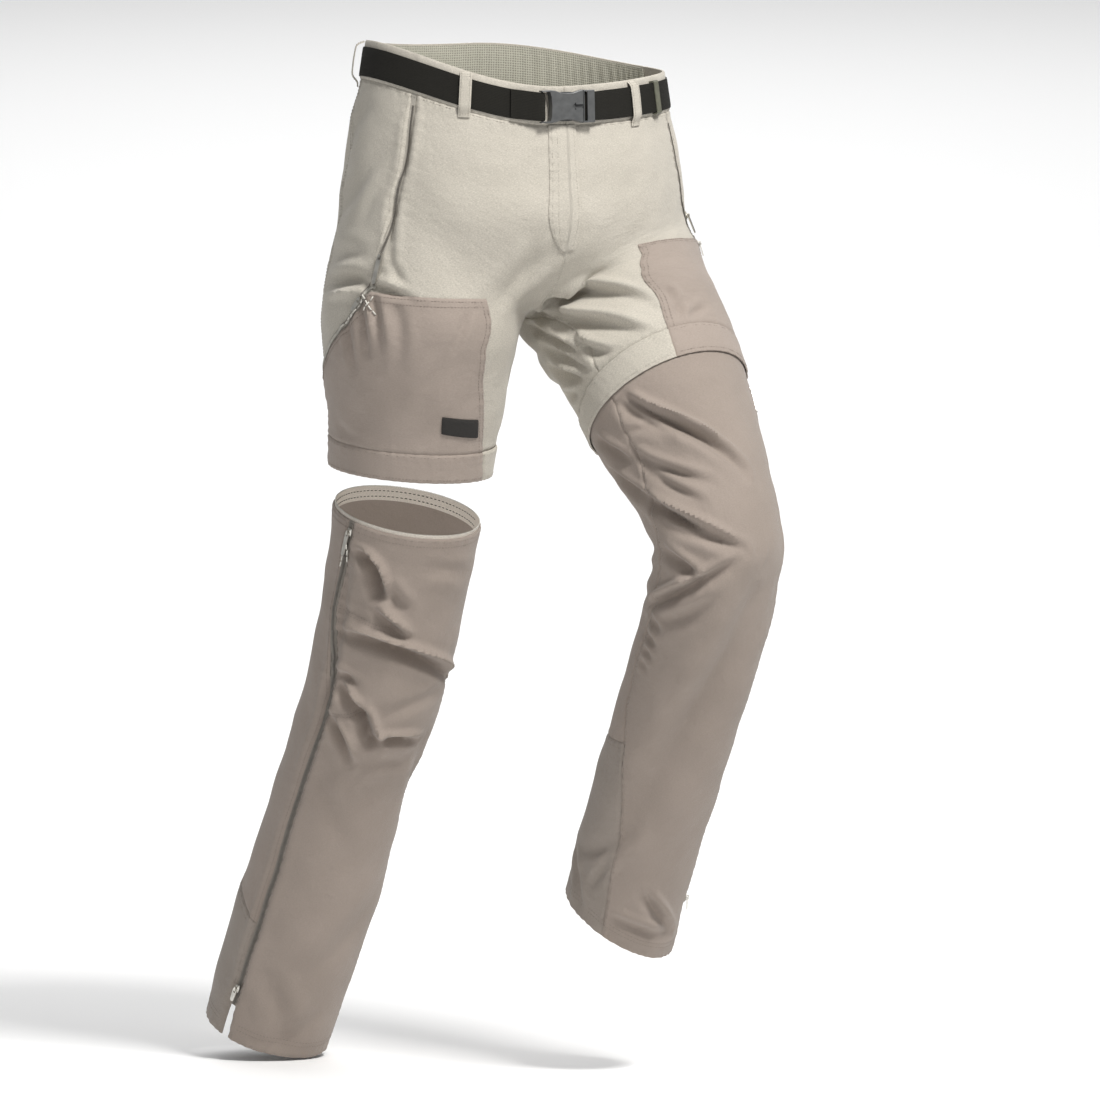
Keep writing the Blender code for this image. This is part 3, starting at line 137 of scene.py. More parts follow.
# Leg rings, across the limb.
# down, centre x, y, z, half width, half depth, inseam turned forward in degrees
LEFT_LEG = (
    (0.255, 0.099, -0.024, -0.243, 0.097, 0.110, 0),
    (0.340, 0.112, -0.079, -0.303, 0.092, 0.096, 4),
    (0.435, 0.120, -0.138, -0.375, 0.083, 0.085, 10),
    (0.514, 0.127, -0.187, -0.435, 0.071, 0.072, 16),
    (0.578, 0.130, -0.213, -0.492, 0.066, 0.066, 20),
    (0.645, 0.129, -0.191, -0.555, 0.064, 0.064, 22),
    (0.741, 0.125, -0.147, -0.640, 0.064, 0.064, 22),
    (0.853, 0.117, -0.097, -0.740, 0.063, 0.063, 22),
    (0.954, 0.111, -0.052, -0.830, 0.061, 0.061, 22),
    (1.055, 0.107, -0.011, -0.922, 0.060, 0.060, 22),
)
RIGHT_LEG = (
    (0.255, -0.098, 0.012, -0.250, 0.102, 0.112, 0),
    (0.315, -0.100, 0.021, -0.310, 0.097, 0.102, 3),
    (0.375, -0.099, 0.033, -0.370, 0.087, 0.092, 6),
    (0.445, -0.100, 0.045, -0.440, 0.079, 0.084, 8),
)
LOOSE_LEG = (
    (0.435, -0.1010, 0.0465, -0.470, 0.077, 0.079, 10),
    (0.526, -0.1060, 0.0700, -0.561, 0.073, 0.073, 16),
    (0.636, -0.1150, 0.1070, -0.668, 0.070, 0.070, 20),
    (0.720, -0.1240, 0.1480, -0.744, 0.067, 0.067, 20),
    (0.833, -0.1360, 0.1930, -0.851, 0.069, 0.069, 20),
    (0.925, -0.1480, 0.2310, -0.937, 0.069, 0.069, 20),
    (1.045, -0.1633, 0.2780, -1.051, 0.065, 0.065, 20),
)

# Folds, each a trough along a curve through three places on its tube.
# tube, down and share at the start, the middle and the end, half width, depth, ridge beside it,
# lean: how much steeper and higher the upper side is
FOLDS = (
    ("loose", 0.464, 0.398, 0.469, 0.360, 0.484, 0.334, 0.0062, 0.0120, 0.45, 0.45),
    ("loose", 0.474, 0.345, 0.490, 0.327, 0.504, 0.312, 0.0075, 0.0156, 0.35, 0.65),
    ("loose", 0.484, 0.316, 0.499, 0.285, 0.512, 0.248, 0.0090, 0.0066, 0.30, 0.55),
    ("loose", 0.517, 0.324, 0.528, 0.280, 0.540, 0.234, 0.0046, 0.0096, 0.50, 0.65),
    ("loose", 0.551, 0.388, 0.555, 0.210, 0.594, 0.015, 0.0062, 0.0138, 0.45, 0.70),
    ("loose", 0.595, 0.380, 0.592, 0.352, 0.596, 0.322, 0.0036, 0.0072, 0.40, 0.45),
    ("loose", 0.598, 0.362, 0.616, 0.322, 0.626, 0.276, 0.0055, 0.0108, 0.45, 0.55),
    ("loose", 0.616, 0.296, 0.638, 0.264, 0.655, 0.230, 0.0072, 0.0156, 0.40, 0.55),
    ("loose", 0.652, 0.250, 0.644, 0.190, 0.649, 0.115, 0.0036, 0.0078, 0.45, 0.65),
    ("loose", 0.638, 0.364, 0.656, 0.320, 0.680, 0.278, 0.0044, 0.0090, 0.50, 0.55),
    ("loose", 0.596, 0.085, 0.606, 0.175, 0.620, 0.240, 0.0080, 0.0024, 0.50, 0.00),
    ("loose", 0.466, 0.240, 0.468, 0.170, 0.478, 0.105, 0.0090, 0.0024, 0.50, 0.00),
    ("loose", 0.675, 0.260, 0.671, 0.190, 0.670, 0.120, 0.0100, 0.0026, 0.50, 0.00),
    ("loose", 0.700, 0.345, 0.730, 0.300, 0.770, 0.230, 0.0110, 0.0022, 0.50, 0.00),
    ("loose", 0.640, 0.110, 0.690, 0.060, 0.760, 0.020, 0.0120, 0.0028, 0.50, 0.00),
    ("loose", 0.820, 0.060, 0.880, 0.150, 0.930, 0.240, 0.0140, 0.0022, 0.50, 0.00),
    ("loose", 0.930, 0.330, 0.960, 0.270, 1.000, 0.230, 0.0120, 0.0030, 0.50, 0.00),
    ("loose", 0.960, 0.150, 0.985, 0.200, 1.010, 0.255, 0.0100, 0.0026, 0.50, 0.00),
    ("loose", 0.600, 0.930, 0.585, 0.800, 0.600, 0.660, 0.0080, 0.0040, 0.45, -0.50),
    ("loose", 0.640, 0.880, 0.650, 0.750, 0.630, 0.620, 0.0075, 0.0036, 0.45, 0.50),
    ("loose", 0.560, 0.850, 0.552, 0.760, 0.566, 0.660, 0.0070, 0.0023, 0.45, 0.30),
    ("loose", 0.505, 0.700, 0.520, 0.620, 0.515, 0.540, 0.0070, 0.0018, 0.45, 0.30),
    ("loose", 0.690, 0.700, 0.700, 0.620, 0.690, 0.530, 0.0080, 0.0018, 0.45, 0.30),
    ("loose", 0.930, 0.700, 0.960, 0.640, 1.000, 0.600, 0.0100, 0.0030, 0.50, 0.00),
    ("left", 0.226, 0.020, 0.250, 0.075, 0.268, 0.130, 0.0075, 0.0106, 0.45, 0.60),
    ("left", 0.244, 0.050, 0.262, 0.125, 0.334, 0.192, 0.0080, 0.0100, 0.60, 0.60),
    ("left", 0.268, 0.082, 0.310, 0.085, 0.374, 0.165, 0.0080, 0.0094, 0.55, 0.60),
    ("left", 0.318, 0.050, 0.346, 0.054, 0.374, 0.095, 0.0060, 0.0069, 0.50, 0.60),
    ("left", 0.248, 0.014, 0.264, 0.040, 0.286, 0.058, 0.0042, 0.0063, 0.45, 0.40),
    ("left", 0.272, 0.008, 0.314, 0.020, 0.356, 0.028, 0.0044, 0.0075, 0.50, 0.40),
    ("left", 0.298, -0.010, 0.335, 0.003, 0.370, 0.026, 0.0044, 0.0075, 0.50, 0.40),
    ("left", 0.318, -0.055, 0.345, -0.025, 0.372, 0.006, 0.0048, 0.0069, 0.50, 0.40),
    ("left", 0.344, -0.085, 0.360, -0.055, 0.376, -0.020, 0.0048, 0.0056, 0.50, 0.40),
    ("left", 0.402, 0.056, 0.462, 0.118, 0.524, 0.242, 0.0062, 0.0110, 0.60, 0.45),
    ("left", 0.410, 0.042, 0.444, 0.068, 0.476, 0.106, 0.0060, 0.0077, 0.50, 0.50),
    ("left", 0.449, 0.032, 0.454, 0.052, 0.459, 0.074, 0.0028, 0.0035, 0.50, 0.30),
    ("left", 0.466, 0.012, 0.503, 0.055, 0.528, 0.150, 0.0050, 0.0059, 0.55, 0.60),
    ("left", 0.492, 0.016, 0.518, 0.050, 0.540, 0.116, 0.0044, 0.0045, 0.55, 0.50),
    ("left", 0.516, -0.020, 0.547, 0.045, 0.576, 0.190, 0.0062, 0.0115, 0.60, 0.45),
    ("left", 0.538, -0.018, 0.557, 0.030, 0.570, 0.130, 0.0048, 0.0048, 0.55, 0.50),
    ("left", 0.420, -0.060, 0.450, -0.030, 0.480, -0.004, 0.0060, 0.0063, 0.50, 0.40),
    ("left", 0.450, -0.100, 0.490, -0.060, 0.520, -0.024, 0.0070, 0.0075, 0.50, 0.40),
    ("left", 0.574, -0.030, 0.588, 0.035, 0.598, 0.080, 0.0065, 0.0085, 0.45, 0.40),
    ("left", 0.642, -0.072, 0.612, 0.030, 0.584, 0.170, 0.0062, 0.0097, 0.50, 0.60),
    ("left", 0.652, -0.035, 0.634, 0.050, 0.614, 0.118, 0.0085, 0.0040, 0.45, 0.30),
    ("left", 0.600, 0.250, 0.705, 0.170, 0.890, 0.062, 0.0220, 0.0120, 0.40, -0.40),
    ("left", 0.654, -0.052, 0.656, -0.030, 0.660, -0.006, 0.0040, 0.0034, 0.50, 0.30),
    ("left", 0.674, -0.056, 0.676, -0.034, 0.680, -0.014, 0.0040, 0.0034, 0.50, 0.30),
    ("left", 0.690, -0.052, 0.692, -0.034, 0.696, -0.016, 0.0036, 0.0030, 0.50, 0.30),
    ("left", 0.704, -0.048, 0.706, -0.034, 0.710, -0.018, 0.0034, 0.0026, 0.50, 0.30),
    ("left", 0.880, 0.076, 0.916, 0.037, 0.950, -0.100, 0.0100, 0.0042, 0.50, 0.40),
    ("left", 0.918, 0.054, 0.946, 0.028, 0.974, 0.006, 0.0050, 0.0034, 0.50, 0.00),
    ("left", 0.950, -0.130, 0.975, -0.055, 1.000, -0.025, 0.0060, 0.0034, 0.50, 0.00),
    ("left", 0.958, 0.160, 0.980, 0.212, 1.008, 0.282, 0.0060, 0.0075, 0.50, 0.50),
    ("left", 0.992, 0.082, 1.000, 0.168, 1.014, 0.285, 0.0060, 0.0040, 0.50, 0.30),
    ("left", 0.565, 0.930, 0.575, 0.800, 0.565, 0.660, 0.0080, 0.0021, 0.45, 0.30),
    ("left", 0.600, 0.900, 0.612, 0.780, 0.600, 0.660, 0.0080, 0.0024, 0.45, -0.30),
    ("left", 0.638, 0.900, 0.645, 0.800, 0.635, 0.700, 0.0075, 0.0015, 0.45, -0.30),
    ("left", 0.545, 0.820, 0.538, 0.720, 0.548, 0.630, 0.0070, 0.0013, 0.45, 0.30),
    ("left", 0.625, 0.640, 0.640, 0.560, 0.630, 0.470, 0.0080, 0.0011, 0.45, 0.30),
    ("left", 0.290, 0.700, 0.315, 0.800, 0.330, 0.900, 0.0110, 0.0055, 0.45, 0.00),
    ("left", 0.250, 0.760, 0.270, 0.850, 0.300, 0.930, 0.0100, 0.0050, 0.45, 0.00),
    ("left", 0.800, 0.700, 0.850, 0.640, 0.900, 0.600, 0.0120, 0.0030, 0.50, 0.00),
    ("left", 0.318, 0.234, 0.330, 0.236, 0.344, 0.228, 0.0040, 0.0032, 0.50, 0.30),
    ("left", 0.340, 0.244, 0.352, 0.236, 0.366, 0.226, 0.0044, 0.0032, 0.50, 0.30),
    ("left", 0.350, 0.300, 0.358, 0.270, 0.372, 0.244, 0.0040, 0.0024, 0.50, 0.00),
    ("loose", 0.526, 0.420, 0.528, 0.340, 0.535, 0.258, 0.0026, 0.0014, 0.50, 0.00),
    ("loose", 0.639, 0.378, 0.632, 0.333, 0.623, 0.284, 0.0026, 0.0014, 0.50, 0.00),
    ("loose", 0.446, 0.425, 0.590, 0.389, 0.790, 0.380, 0.0060, 0.0034, 0.55, 0.00),
    ("loose", 0.760, 0.380, 0.880, 0.381, 1.010, 0.382, 0.0060, 0.0034, 0.55, 0.00),
    ("left", 0.420, 0.425, 0.590, 0.389, 0.790, 0.380, 0.0060, 0.0026, 0.55, 0.00),
    ("right", 0.020, 0.328, 0.090, 0.331, 0.150, 0.338, 0.0050, 0.0024, 0.40, 0.00),
    ("right", 0.140, 0.336, 0.190, 0.360, 0.222, 0.395, 0.0050, 0.0030, 0.40, 0.00),
    ("right", 0.070, 0.337, 0.104, 0.333, 0.128, 0.338, 0.0036, 0.0026, 0.20, 0.00),
    ("right", 0.150, 0.345, 0.172, 0.355, 0.196, 0.378, 0.0036, 0.0030, 0.20, 0.00),
    ("right", 0.182, 0.018, 0.210, 0.105, 0.244, 0.202, 0.0120, 0.0036, 0.60, 0.30),
    ("right", 0.168, 0.058, 0.198, 0.085, 0.232, 0.134, 0.0090, 0.0018, 0.50, 0.00),
    ("right", 0.060, 0.460, 0.090, 0.540, 0.135, 0.600, 0.0110, 0.0030, 0.50, 0.00),
    ("right", 0.092, 0.367, 0.146, 0.475, 0.185, 0.600, 0.0110, 0.0026, 0.50, 0.00),
    ("right", 0.120, 0.352, 0.150, 0.400, 0.180, 0.440, 0.0080, 0.0020, 0.50, 0.00),
    ("right", 0.228, 0.415, 0.230, 0.465, 0.240, 0.540, 0.0085, 0.0085, 0.55, 0.60),
    ("right", 0.208, 0.412, 0.208, 0.478, 0.218, 0.560, 0.0090, 0.0038, 0.50, 0.30),
    ("right", 0.232, 0.418, 0.232, 0.380, 0.238, 0.338, 0.0036, 0.0060, 0.55, 0.50),
    ("right", 0.200, 0.355, 0.212, 0.362, 0.232, 0.336, 0.0036, 0.0024, 0.50, 0.00),
    ("right", 0.236, 0.404, 0.256, 0.398, 0.282, 0.388, 0.0046, 0.0038, 0.50, 0.00),
    ("right", 0.246, 0.432, 0.264, 0.424, 0.292, 0.410, 0.0050, 0.0044, 0.50, 0.00),
    ("right", 0.262, 0.462, 0.280, 0.450, 0.310, 0.430, 0.0050, 0.0040, 0.50, 0.00),
    ("right", 0.238, 0.370, 0.262, 0.362, 0.300, 0.352, 0.0070, 0.0026, 0.50, 0.00),
    ("right", 0.248, 0.252, 0.262, 0.265, 0.284, 0.276, 0.0042, 0.0026, 0.50, 0.30),
    ("right", 0.284, 0.276, 0.310, 0.290, 0.345, 0.305, 0.0090, 0.0022, 0.50, 0.00),
    ("right", 0.372, 0.480, 0.386, 0.440, 0.392, 0.390, 0.0080, 0.0022, 0.50, 0.00),
    ("right", 0.290, 0.920, 0.305, 0.840, 0.295, 0.720, 0.0100, 0.0070, 0.45, 0.00),
    ("right", 0.330, 0.920, 0.340, 0.840, 0.335, 0.750, 0.0085, 0.0050, 0.45, 0.00),
    ("right", 0.240, 0.640, 0.262, 0.720, 0.262, 0.820, 0.0110, 0.0045, 0.45, 0.00),
    ("right", 0.300, 0.110, 0.330, 0.075, 0.372, 0.050, 0.0090, 0.0024, 0.50, 0.00),
)
FOLD_STEPS = 41
# Stretches held flat by a zip and its band: down at the start and the end, and the fade beside them.
FLAT_STRETCH = {"right": (0.388, 0.437), "left": (0.371, 0.410), "loose": (0.432, 0.448)}
FLAT_FADE = 0.016
WAIST_FADE = 0.030
LEAST_FOLD_WIDTH = 0.0047
GRAZING_LIGHT_EASE = 1.0

# Soft unevenness all over: wavelength in metres, height, direction.
RIPPLES = (
    (0.085, 0.00060, (0.9, 0.3, 0.35), 0.4),
    (0.062, 0.00045, (0.5, -0.7, 0.55), 1.9),
    (0.047, 0.00035, (-0.4, 0.5, 0.80), 3.1),
    (0.033, 0.00022, (0.7, 0.6, -0.40), 4.4),
    (0.021, 0.00010, (-0.6, 0.3, 0.70), 5.3),
)

# The camera stands far off, at the photograph's angle.
CAMERA_RIGHT = (0.9063, -0.4226, 0.0)
CAMERA_UP = (0.0442, 0.0947, 0.9945)
CAMERA_BACK = (-0.4203, -0.9013, 0.1045)
CAMERA_DISTANCE = 45.0
METRES_PER_PIXEL = 0.00103
PHOTO_SIZE = 1100
ORIGIN_PIXEL = (515.0, 60.0)
SENSOR = 0.036

WORLD_LIGHT = 0.29
FLOOR_LIGHTS = (2.0, 5.0, 8.0, 11.0)
# name, place, the point it faces, watts, width, colour
LIGHTS = (
    ("key", (0.35, -2.0, 2.2), (0.0, 0.0, -0.45), 124.0, 0.7, (1.0, 0.99, 0.97)),
    ("side", (-2.4, -1.6, 0.6), (0.0, 0.0, -0.6), 6.0, 1.4, (0.98, 0.99, 1.0)),
    ("inside", (-0.119, 0.015, -0.500), (-0.075, 0.109, -0.450), 0.075, 0.05, (1.0, 0.99, 0.97)),
) + tuple(
    (f"floor_{distance:.0f}", (0.42 * distance, 0.90 * distance, 1.4), (0.42 * distance, 0.90 * distance, -1.1),
     50.0, 3.0, (1.0, 1.0, 1.0))
    for distance in FLOOR_LIGHTS
)


def unit(vectors):
    """Vectors scaled to length one along the last axis."""
    return vectors / np.maximum(np.linalg.norm(vectors, axis=-1, keepdims=True), 1e-12)


def ease(x):
    """Smooth step from 0 to 1."""
    x = np.clip(x, 0.0, 1.0)
    return x * x * (3.0 - 2.0 * x)


def bell(x):
    """A smooth hump, 1 at 0."""
    return np.exp(-x * x)


def trunk_row(ring, side, round_share):
    """One side's half of a trunk ring, from centre front to centre back."""
    _, half_width, front, back, z_front, z_right, z_left, z_back = ring
    angle = math.pi * round_share
    cosine = np.cos(angle)
    z_side = z_right if side < 0 else z_left
    z_middle = z_front * (1 + cosine) / 2 + z_back * (1 - cosine) / 2
    x = side * half_width * np.sin(angle)
    y = -np.where(cosine > 0, front, back) * cosine
    z = z_side * np.sin(angle) ** 2 + z_middle * cosine ** 2
    return np.stack((x, y, z), axis=-1)


def leg_row(ring, axis, side, round_share):
    """A closed ring across a limb: inner, front, outer, back."""
    _, x, y, z, half_width, half_depth, turn = ring
    outward = unit(np.array((side, 0.0, 0.0)) - side * axis[0] * axis)
    forward = side * np.cross(axis, outward)
    angle = 2 * math.pi * round_share + math.radians(turn)
    return (np.array((x, y, z))
            - half_width * np.cos(angle)[:, None] * outward
            + half_depth * np.sin(angle)[:, None] * forward)


def leg_rows(table, side, round_share, upright_start):
    """Rings square to the limb; the first one may lean half way back to level."""
    centres = np.array([row[1:4] for row in table])
    chords = unit(np.diff(centres, axis=0))
    axes = unit(np.concatenate((chords[:1], chords[1:] + chords[:-1], chords[-1:])))
    if upright_start:
        axes[0] = unit(axes[0] + np.array((0.0, 0.0, -1.0)))
    return [leg_row(row, axis, side, round_share) for row, axis in zip(table, axes)]


def pulled_ends(row, round_share, front_point, back_point):
    """A row whose two ends are drawn smoothly to given points."""
    front_pull = np.clip(1 - round_share / 0.25, 0, 1)[:, None] ** 2
    back_pull = np.clip(1 - (1 - round_share) / 0.25, 0, 1)[:, None] ** 2
    to_front = np.array(front_point) - row[0]
    to_back = np.array(back_point) - row[-1]
    return row + front_pull * to_front + back_pull * to_back


def spline_rows(key_downs, keys, downs, corner=None, kink=None):
    """Smooth rows through the key rows; at the corner row a column may keep its kink."""
    spans = np.diff(key_downs)[:, None, None]
    chords = np.diff(keys, axis=0) / spans
    arriving = np.concatenate((chords[:1], chords))
    leaving = np.concatenate((chords, chords[-1:]))
    before = np.concatenate((spans[:1], spans))
    after = np.concatenate((spans, spans[-1:]))
    smooth = (arriving * after + leaving * before) / (before + after)
    slopes_in = smooth.copy()
    slopes_out = smooth.copy()
    if corner is not None:
        slopes_in[corner] += kink[:, None] * (arriving[corner] - smooth[corner])
        slopes_out[corner] += kink[:, None] * (leaving[corner] - smooth[corner])
    rows = []
    for down in downs:
        index = int(np.clip(np.searchsorted(key_downs, down, side="right") - 1, 0, len(spans) - 1))
        span = spans[index]
        t = (down - key_downs[index]) / span
        rows.append(
            (2 * t ** 3 - 3 * t ** 2 + 1) * keys[index]
            + (t ** 3 - 2 * t ** 2 + t) * span * slopes_out[index]
            + (3 * t ** 2 - 2 * t ** 3) * keys[index + 1]
            + (t ** 3 - t ** 2) * span * slopes_in[index + 1]
        )
    return np.stack([row.reshape(keys.shape[1:]) for row in rows])


def grid_normals(points, ids, outward_sign):
    """Shared normals of several grids whose corners have common numbers."""
    total = np.zeros((max(int(i.max()) for i in ids) + 1, 3))
    for grid, numbers, sign in zip(points, ids, outward_sign):
        across = grid[1:, 1:] - grid[:-1, :-1]
        other = grid[:-1, 1:] - grid[1:, :-1]
        face = np.cross(across, other) * sign
        for rows, columns in ((slice(None, -1), slice(None, -1)), (slice(1, None), slice(None, -1)),
                              (slice(None, -1), slice(1, None)), (slice(1, None), slice(1, None))):
            np.add.at(total, numbers[rows, columns], face)
    total = unit(total)
    return [total[numbers] for numbers in ids]


def corner_numbers(left_rows, right_rows, crotch_row, columns):
    """Vertex numbers of both sides' grids: shared at the centre seams, closed round each leg."""
    ids = []
    count = 0
    for rows in (left_rows, right_rows):
        numbers = np.arange(rows * columns).reshape(rows, columns) + count
        numbers[crotch_row + 1:, -1] = numbers[crotch_row + 1:, 0]
        numbers[crotch_row, -1] = numbers[crotch_row, 0]
        count += rows * columns
        ids.append(numbers)
    ids[1][:crotch_row + 1, 0] = ids[0][:crotch_row + 1, 0]
    ids[1][:crotch_row + 1, -1] = ids[0][:crotch_row + 1, -1]
    return ids


def relax(points, ids, centre, reach, rounds):
    """Even out the grids near one point, most at the point and not at all beyond its reach."""
    count = max(int(i.max()) for i in ids) + 1
    place = np.zeros((count, 3))
    for grid, numbers in zip(points, ids):
        place[numbers] = grid
    pairs = []
    for numbers in ids:
        pairs.append(np.stack((numbers[1:].ravel(), numbers[:-1].ravel()), axis=1))
        pairs.append(np.stack((numbers[:, 1:].ravel(), numbers[:, :-1].ravel()), axis=1))
    pairs = np.concatenate(pairs)
    weight = ease(1 - np.linalg.norm(place - np.array(centre), axis=1) / reach)[:, None]
    degree = np.zeros((count, 1))
    np.add.at(degree, pairs.ravel(), 1.0)
    degree = np.maximum(degree, 1.0)
    for _ in range(rounds):
        total = np.zeros((count, 3))
        np.add.at(total, pairs[:, 0], place[pairs[:, 1]])
        np.add.at(total, pairs[:, 1], place[pairs[:, 0]])
        place = place + 0.5 * weight * (total / degree - place)
    return [place[numbers] for numbers in ids]


class Surface:
    """One tube of cloth, read smoothly between the points of its grid."""

    def __init__(self, downs, points, normals, before, after):
        """The columns before and after continue the grid past its two ends."""
        self.downs = downs
        self.grids = []
        for index, grid in enumerate((points, normals)):
            wide = np.concatenate((before[index], grid, after[index]), axis=1)
            top = 2 * wide[:1] - wide[1:2]
            low = 2 * wide[-1:] - wide[-2:-1]
            self.grids.append(np.concatenate((top, wide, low)))

    def sample(self, down, share):
        """Points and normals at the given places."""
        down, share = np.broadcast_arrays(np.asarray(down, dtype=float), np.asarray(share, dtype=float))
        rows = len(self.downs)
        i = (down - self.downs[0]) / (self.downs[1] - self.downs[0])
        j = share * GRID_COLUMNS
        i0 = np.clip(np.floor(i).astype(int), 0, rows - 2)
        j0 = np.clip(np.floor(j).astype(int), 0, GRID_COLUMNS - 1)
        row_weights = self.weights(i - i0)
        column_weights = self.weights(j - j0)
        result = []
        for grid in self.grids:
            total = 0.0
            for a, row_weight in enumerate(row_weights):
                line = 0.0
                for b, column_weight in enumerate(column_weights):
                    line = line + grid[i0 + a, j0 + b] * column_weight[..., None]
                total = total + line * row_weight[..., None]
            result.append(total)
        return result[0], unit(result[1])

    @staticmethod
    def weights(t):
        """Four weights of a smooth curve through its points."""
        return (
            (-t + 2 * t ** 2 - t ** 3) / 2,
            1 - 2.5 * t ** 2 + 1.5 * t ** 3,
            (t + 4 * t ** 2 - 3 * t ** 3) / 2,
            (t ** 3 - t ** 2) / 2,
        )


def make_surfaces():
    """The three tubes without their folds."""
    round_share = np.linspace(0, 1, GRID_COLUMNS + 1)
    kink = ease(1 - np.minimum(round_share, 1 - round_share) / 0.12)
    steps = int(round(CROTCH_DOWN / GRID_STEP))
    step = CROTCH_DOWN / steps
    grids = []
    all_downs = []
    for side, table in ((1.0, LEFT_LEG), (-1.0, RIGHT_LEG)):
        trunk = [trunk_row(ring, side, round_share) for ring in TRUNK]
        legs = leg_rows(table, side, round_share, upright_start=True)
        legs[0] = pulled_ends(legs[0], round_share, CROTCH_POINT, CROTCH_POINT)
        seat = []
        for index, (_, front_y, front_z, back_y, back_z) in enumerate(SEAT):
            share = (index + 1) / (len(SEAT) + 1)
            row = trunk[-1] * (1 - share) + legs[0] * share
            seat.append(pulled_ends(row, round_share, (0, front_y, front_z), (0, back_y, back_z)))
        keys = np.stack(trunk + seat + legs)
        key_downs = np.array([row[0] for row in TRUNK + SEAT + table])
        last = key_downs[-1]
        downs = np.arange(0, int(math.ceil(last / step - 1e-6)) + 1) * step
        grids.append(spline_rows(key_downs, keys, downs, len(TRUNK) + len(SEAT), kink))
        all_downs.append(downs)
    ids = corner_numbers(len(grids[0]), len(grids[1]), steps, GRID_COLUMNS + 1)
    grids = relax(grids, ids, CROTCH_POINT, 0.11, 40)
    normals = grid_normals(grids, ids, (1.0, -1.0))
    result = {}
    for own, other, name in ((0, 1, "left"), (1, 0, "right")):
        before = []
        after = []
        for source in (grids, normals):
            wrap_before = source[own][:, -2:-1].copy()
            wrap_after = source[own][:, 1:2].copy()
            wrap_before[:steps + 1] = source[other][:steps + 1, 1:2]
            wrap_after[:steps + 1] = source[other][:steps + 1, -2:-1]
            before.append(wrap_before)
            after.append(np.concatenate((wrap_after, wrap_after), axis=1))
        result[name] = Surface(all_downs[own], grids[own], normals[own], before, after)
    keys = np.stack(leg_rows(LOOSE_LEG, -1.0, round_share, upright_start=False))
    key_downs = np.array([row[0] for row in LOOSE_LEG])
    first = key_downs[0] - ZIP_TAPE_ABOVE
    count = int(round((key_downs[-1] - first) / GRID_STEP))
    downs = np.linspace(first, key_downs[-1], count + 1)
    grid = spline_rows(key_downs, keys, downs)
    numbers = np.arange(grid.shape[0] * grid.shape[1]).reshape(grid.shape[:2])
    numbers[:, -1] = numbers[:, 0]
    normal = grid_normals([grid], [numbers], (-1.0,))[0]
    before = [source[:, -2:-1] for source in (grid, normal)]
    after = [np.concatenate((source[:, 1:2], source[:, 1:2]), axis=1) for source in (grid, normal)]
    result["loose"] = Surface(downs, grid, normal, before, after)
    return result


SURFACES = make_surfaces()


def fold_paths():
    """Each fold as a line of points on its tube, with the tangents along it."""
    part = np.linspace(0, 1, FOLD_STEPS)
    paths = []
    for tube, *rest in FOLDS:
        start, middle, end = np.array(rest[:6]).reshape(3, 2)
        control = 2 * middle - (start + end) / 2
        curve = (np.outer((1 - part) ** 2, start) + np.outer(2 * part * (1 - part), control)
                 + np.outer(part ** 2, end))
        points, _ = SURFACES[tube].sample(curve[:, 0], np.mod(curve[:, 1], 1.0))
        paths.append((points, unit(np.gradient(points, axis=0)), *rest[6:]))
    return paths


PATHS = fold_paths()


def relief(tube, down, share, base, normal):
    """How far the cloth lies above its tube: folds, and soft unevenness all over."""
    shape = down.shape
    points = base.reshape(-1, 3)
    normals = normal.reshape(-1, 3)
    lift = np.zeros(len(points))
    for wavelength, height, direction, phase in RIPPLES:
        way = unit(np.array(direction)) * 2 * math.pi / wavelength
        lift += height * np.sin(points @ way + phase)
    for path, tangents, width, depth, ridge, lean in PATHS:
        middle = path[len(path) // 2]
        reach = np.linalg.norm(path - middle, axis=1).max() + 4 * width
        near = np.flatnonzero(np.linalg.norm(points - middle, axis=1) < reach)
        if not len(near):
            continue
        to = points[near, None, :] - path
        distances = np.linalg.norm(to, axis=-1)
        index = np.argmin(distances, axis=1)
        to = to[np.arange(len(near)), index]
        last = len(path) - 1
        ahead = np.einsum("ij,ij->i", tangents[index], to)
        past_end = ((index == 0) & (ahead < 0)) | ((index == last) & (ahead > 0))
        beside = to - np.where(past_end, 0.0, ahead)[:, None] * tangents[index]
        side = np.sign(np.einsum("ij,ij->i", np.cross(tangents[index], to), normals[near]))
        step = np.linalg.norm(path[1:] - path[:-1], axis=1).mean()
        share_along = np.clip((index + ahead / step) / last, 0, 1)
        taper = np.sin(math.pi * (0.03 + 0.94 * share_along)) ** 0.75
        gap = np.linalg.norm(beside, axis=1) / np.maximum(width * (1 - 0.5 * lean * side), LEAST_FOLD_WIDTH)
        ridges = ridge * (1 + 0.9 * lean * side) * bell((gap - 1.75) / 0.90)
        trough = 0.80 * bell(gap) + 0.20 * bell(1.5 * gap)
        lift[near] += depth * taper * (ridges - trough)
    if tube != "loose":
        lift = lift * ease((down.ravel() - BELT_LOW) / WAIST_FADE)
    start, end = FLAT_STRETCH[tube]
    flat = ease((down - start) / FLAT_FADE + 1) * ease((end - down) / FLAT_FADE + 1)
    return lift.reshape(shape) * (1 - 0.9 * flat)


def on_cloth(tube, down, share, offset=0.0):
    """Points a given height above the folded cloth."""
    down, share = np.broadcast_arrays(np.asarray(down, dtype=float), np.asarray(share, dtype=float))
    wrapped = np.where((share < 0) | (share > 1), np.mod(share, 1.0), share)
    base, normal = SURFACES[tube].sample(down, wrapped)
    lift = relief(tube, down, wrapped, base, normal)
    return base + normal * (lift + offset)[..., None]


def level(value):
    """A border that stays at one value."""
    return lambda along: np.full_like(along, value)


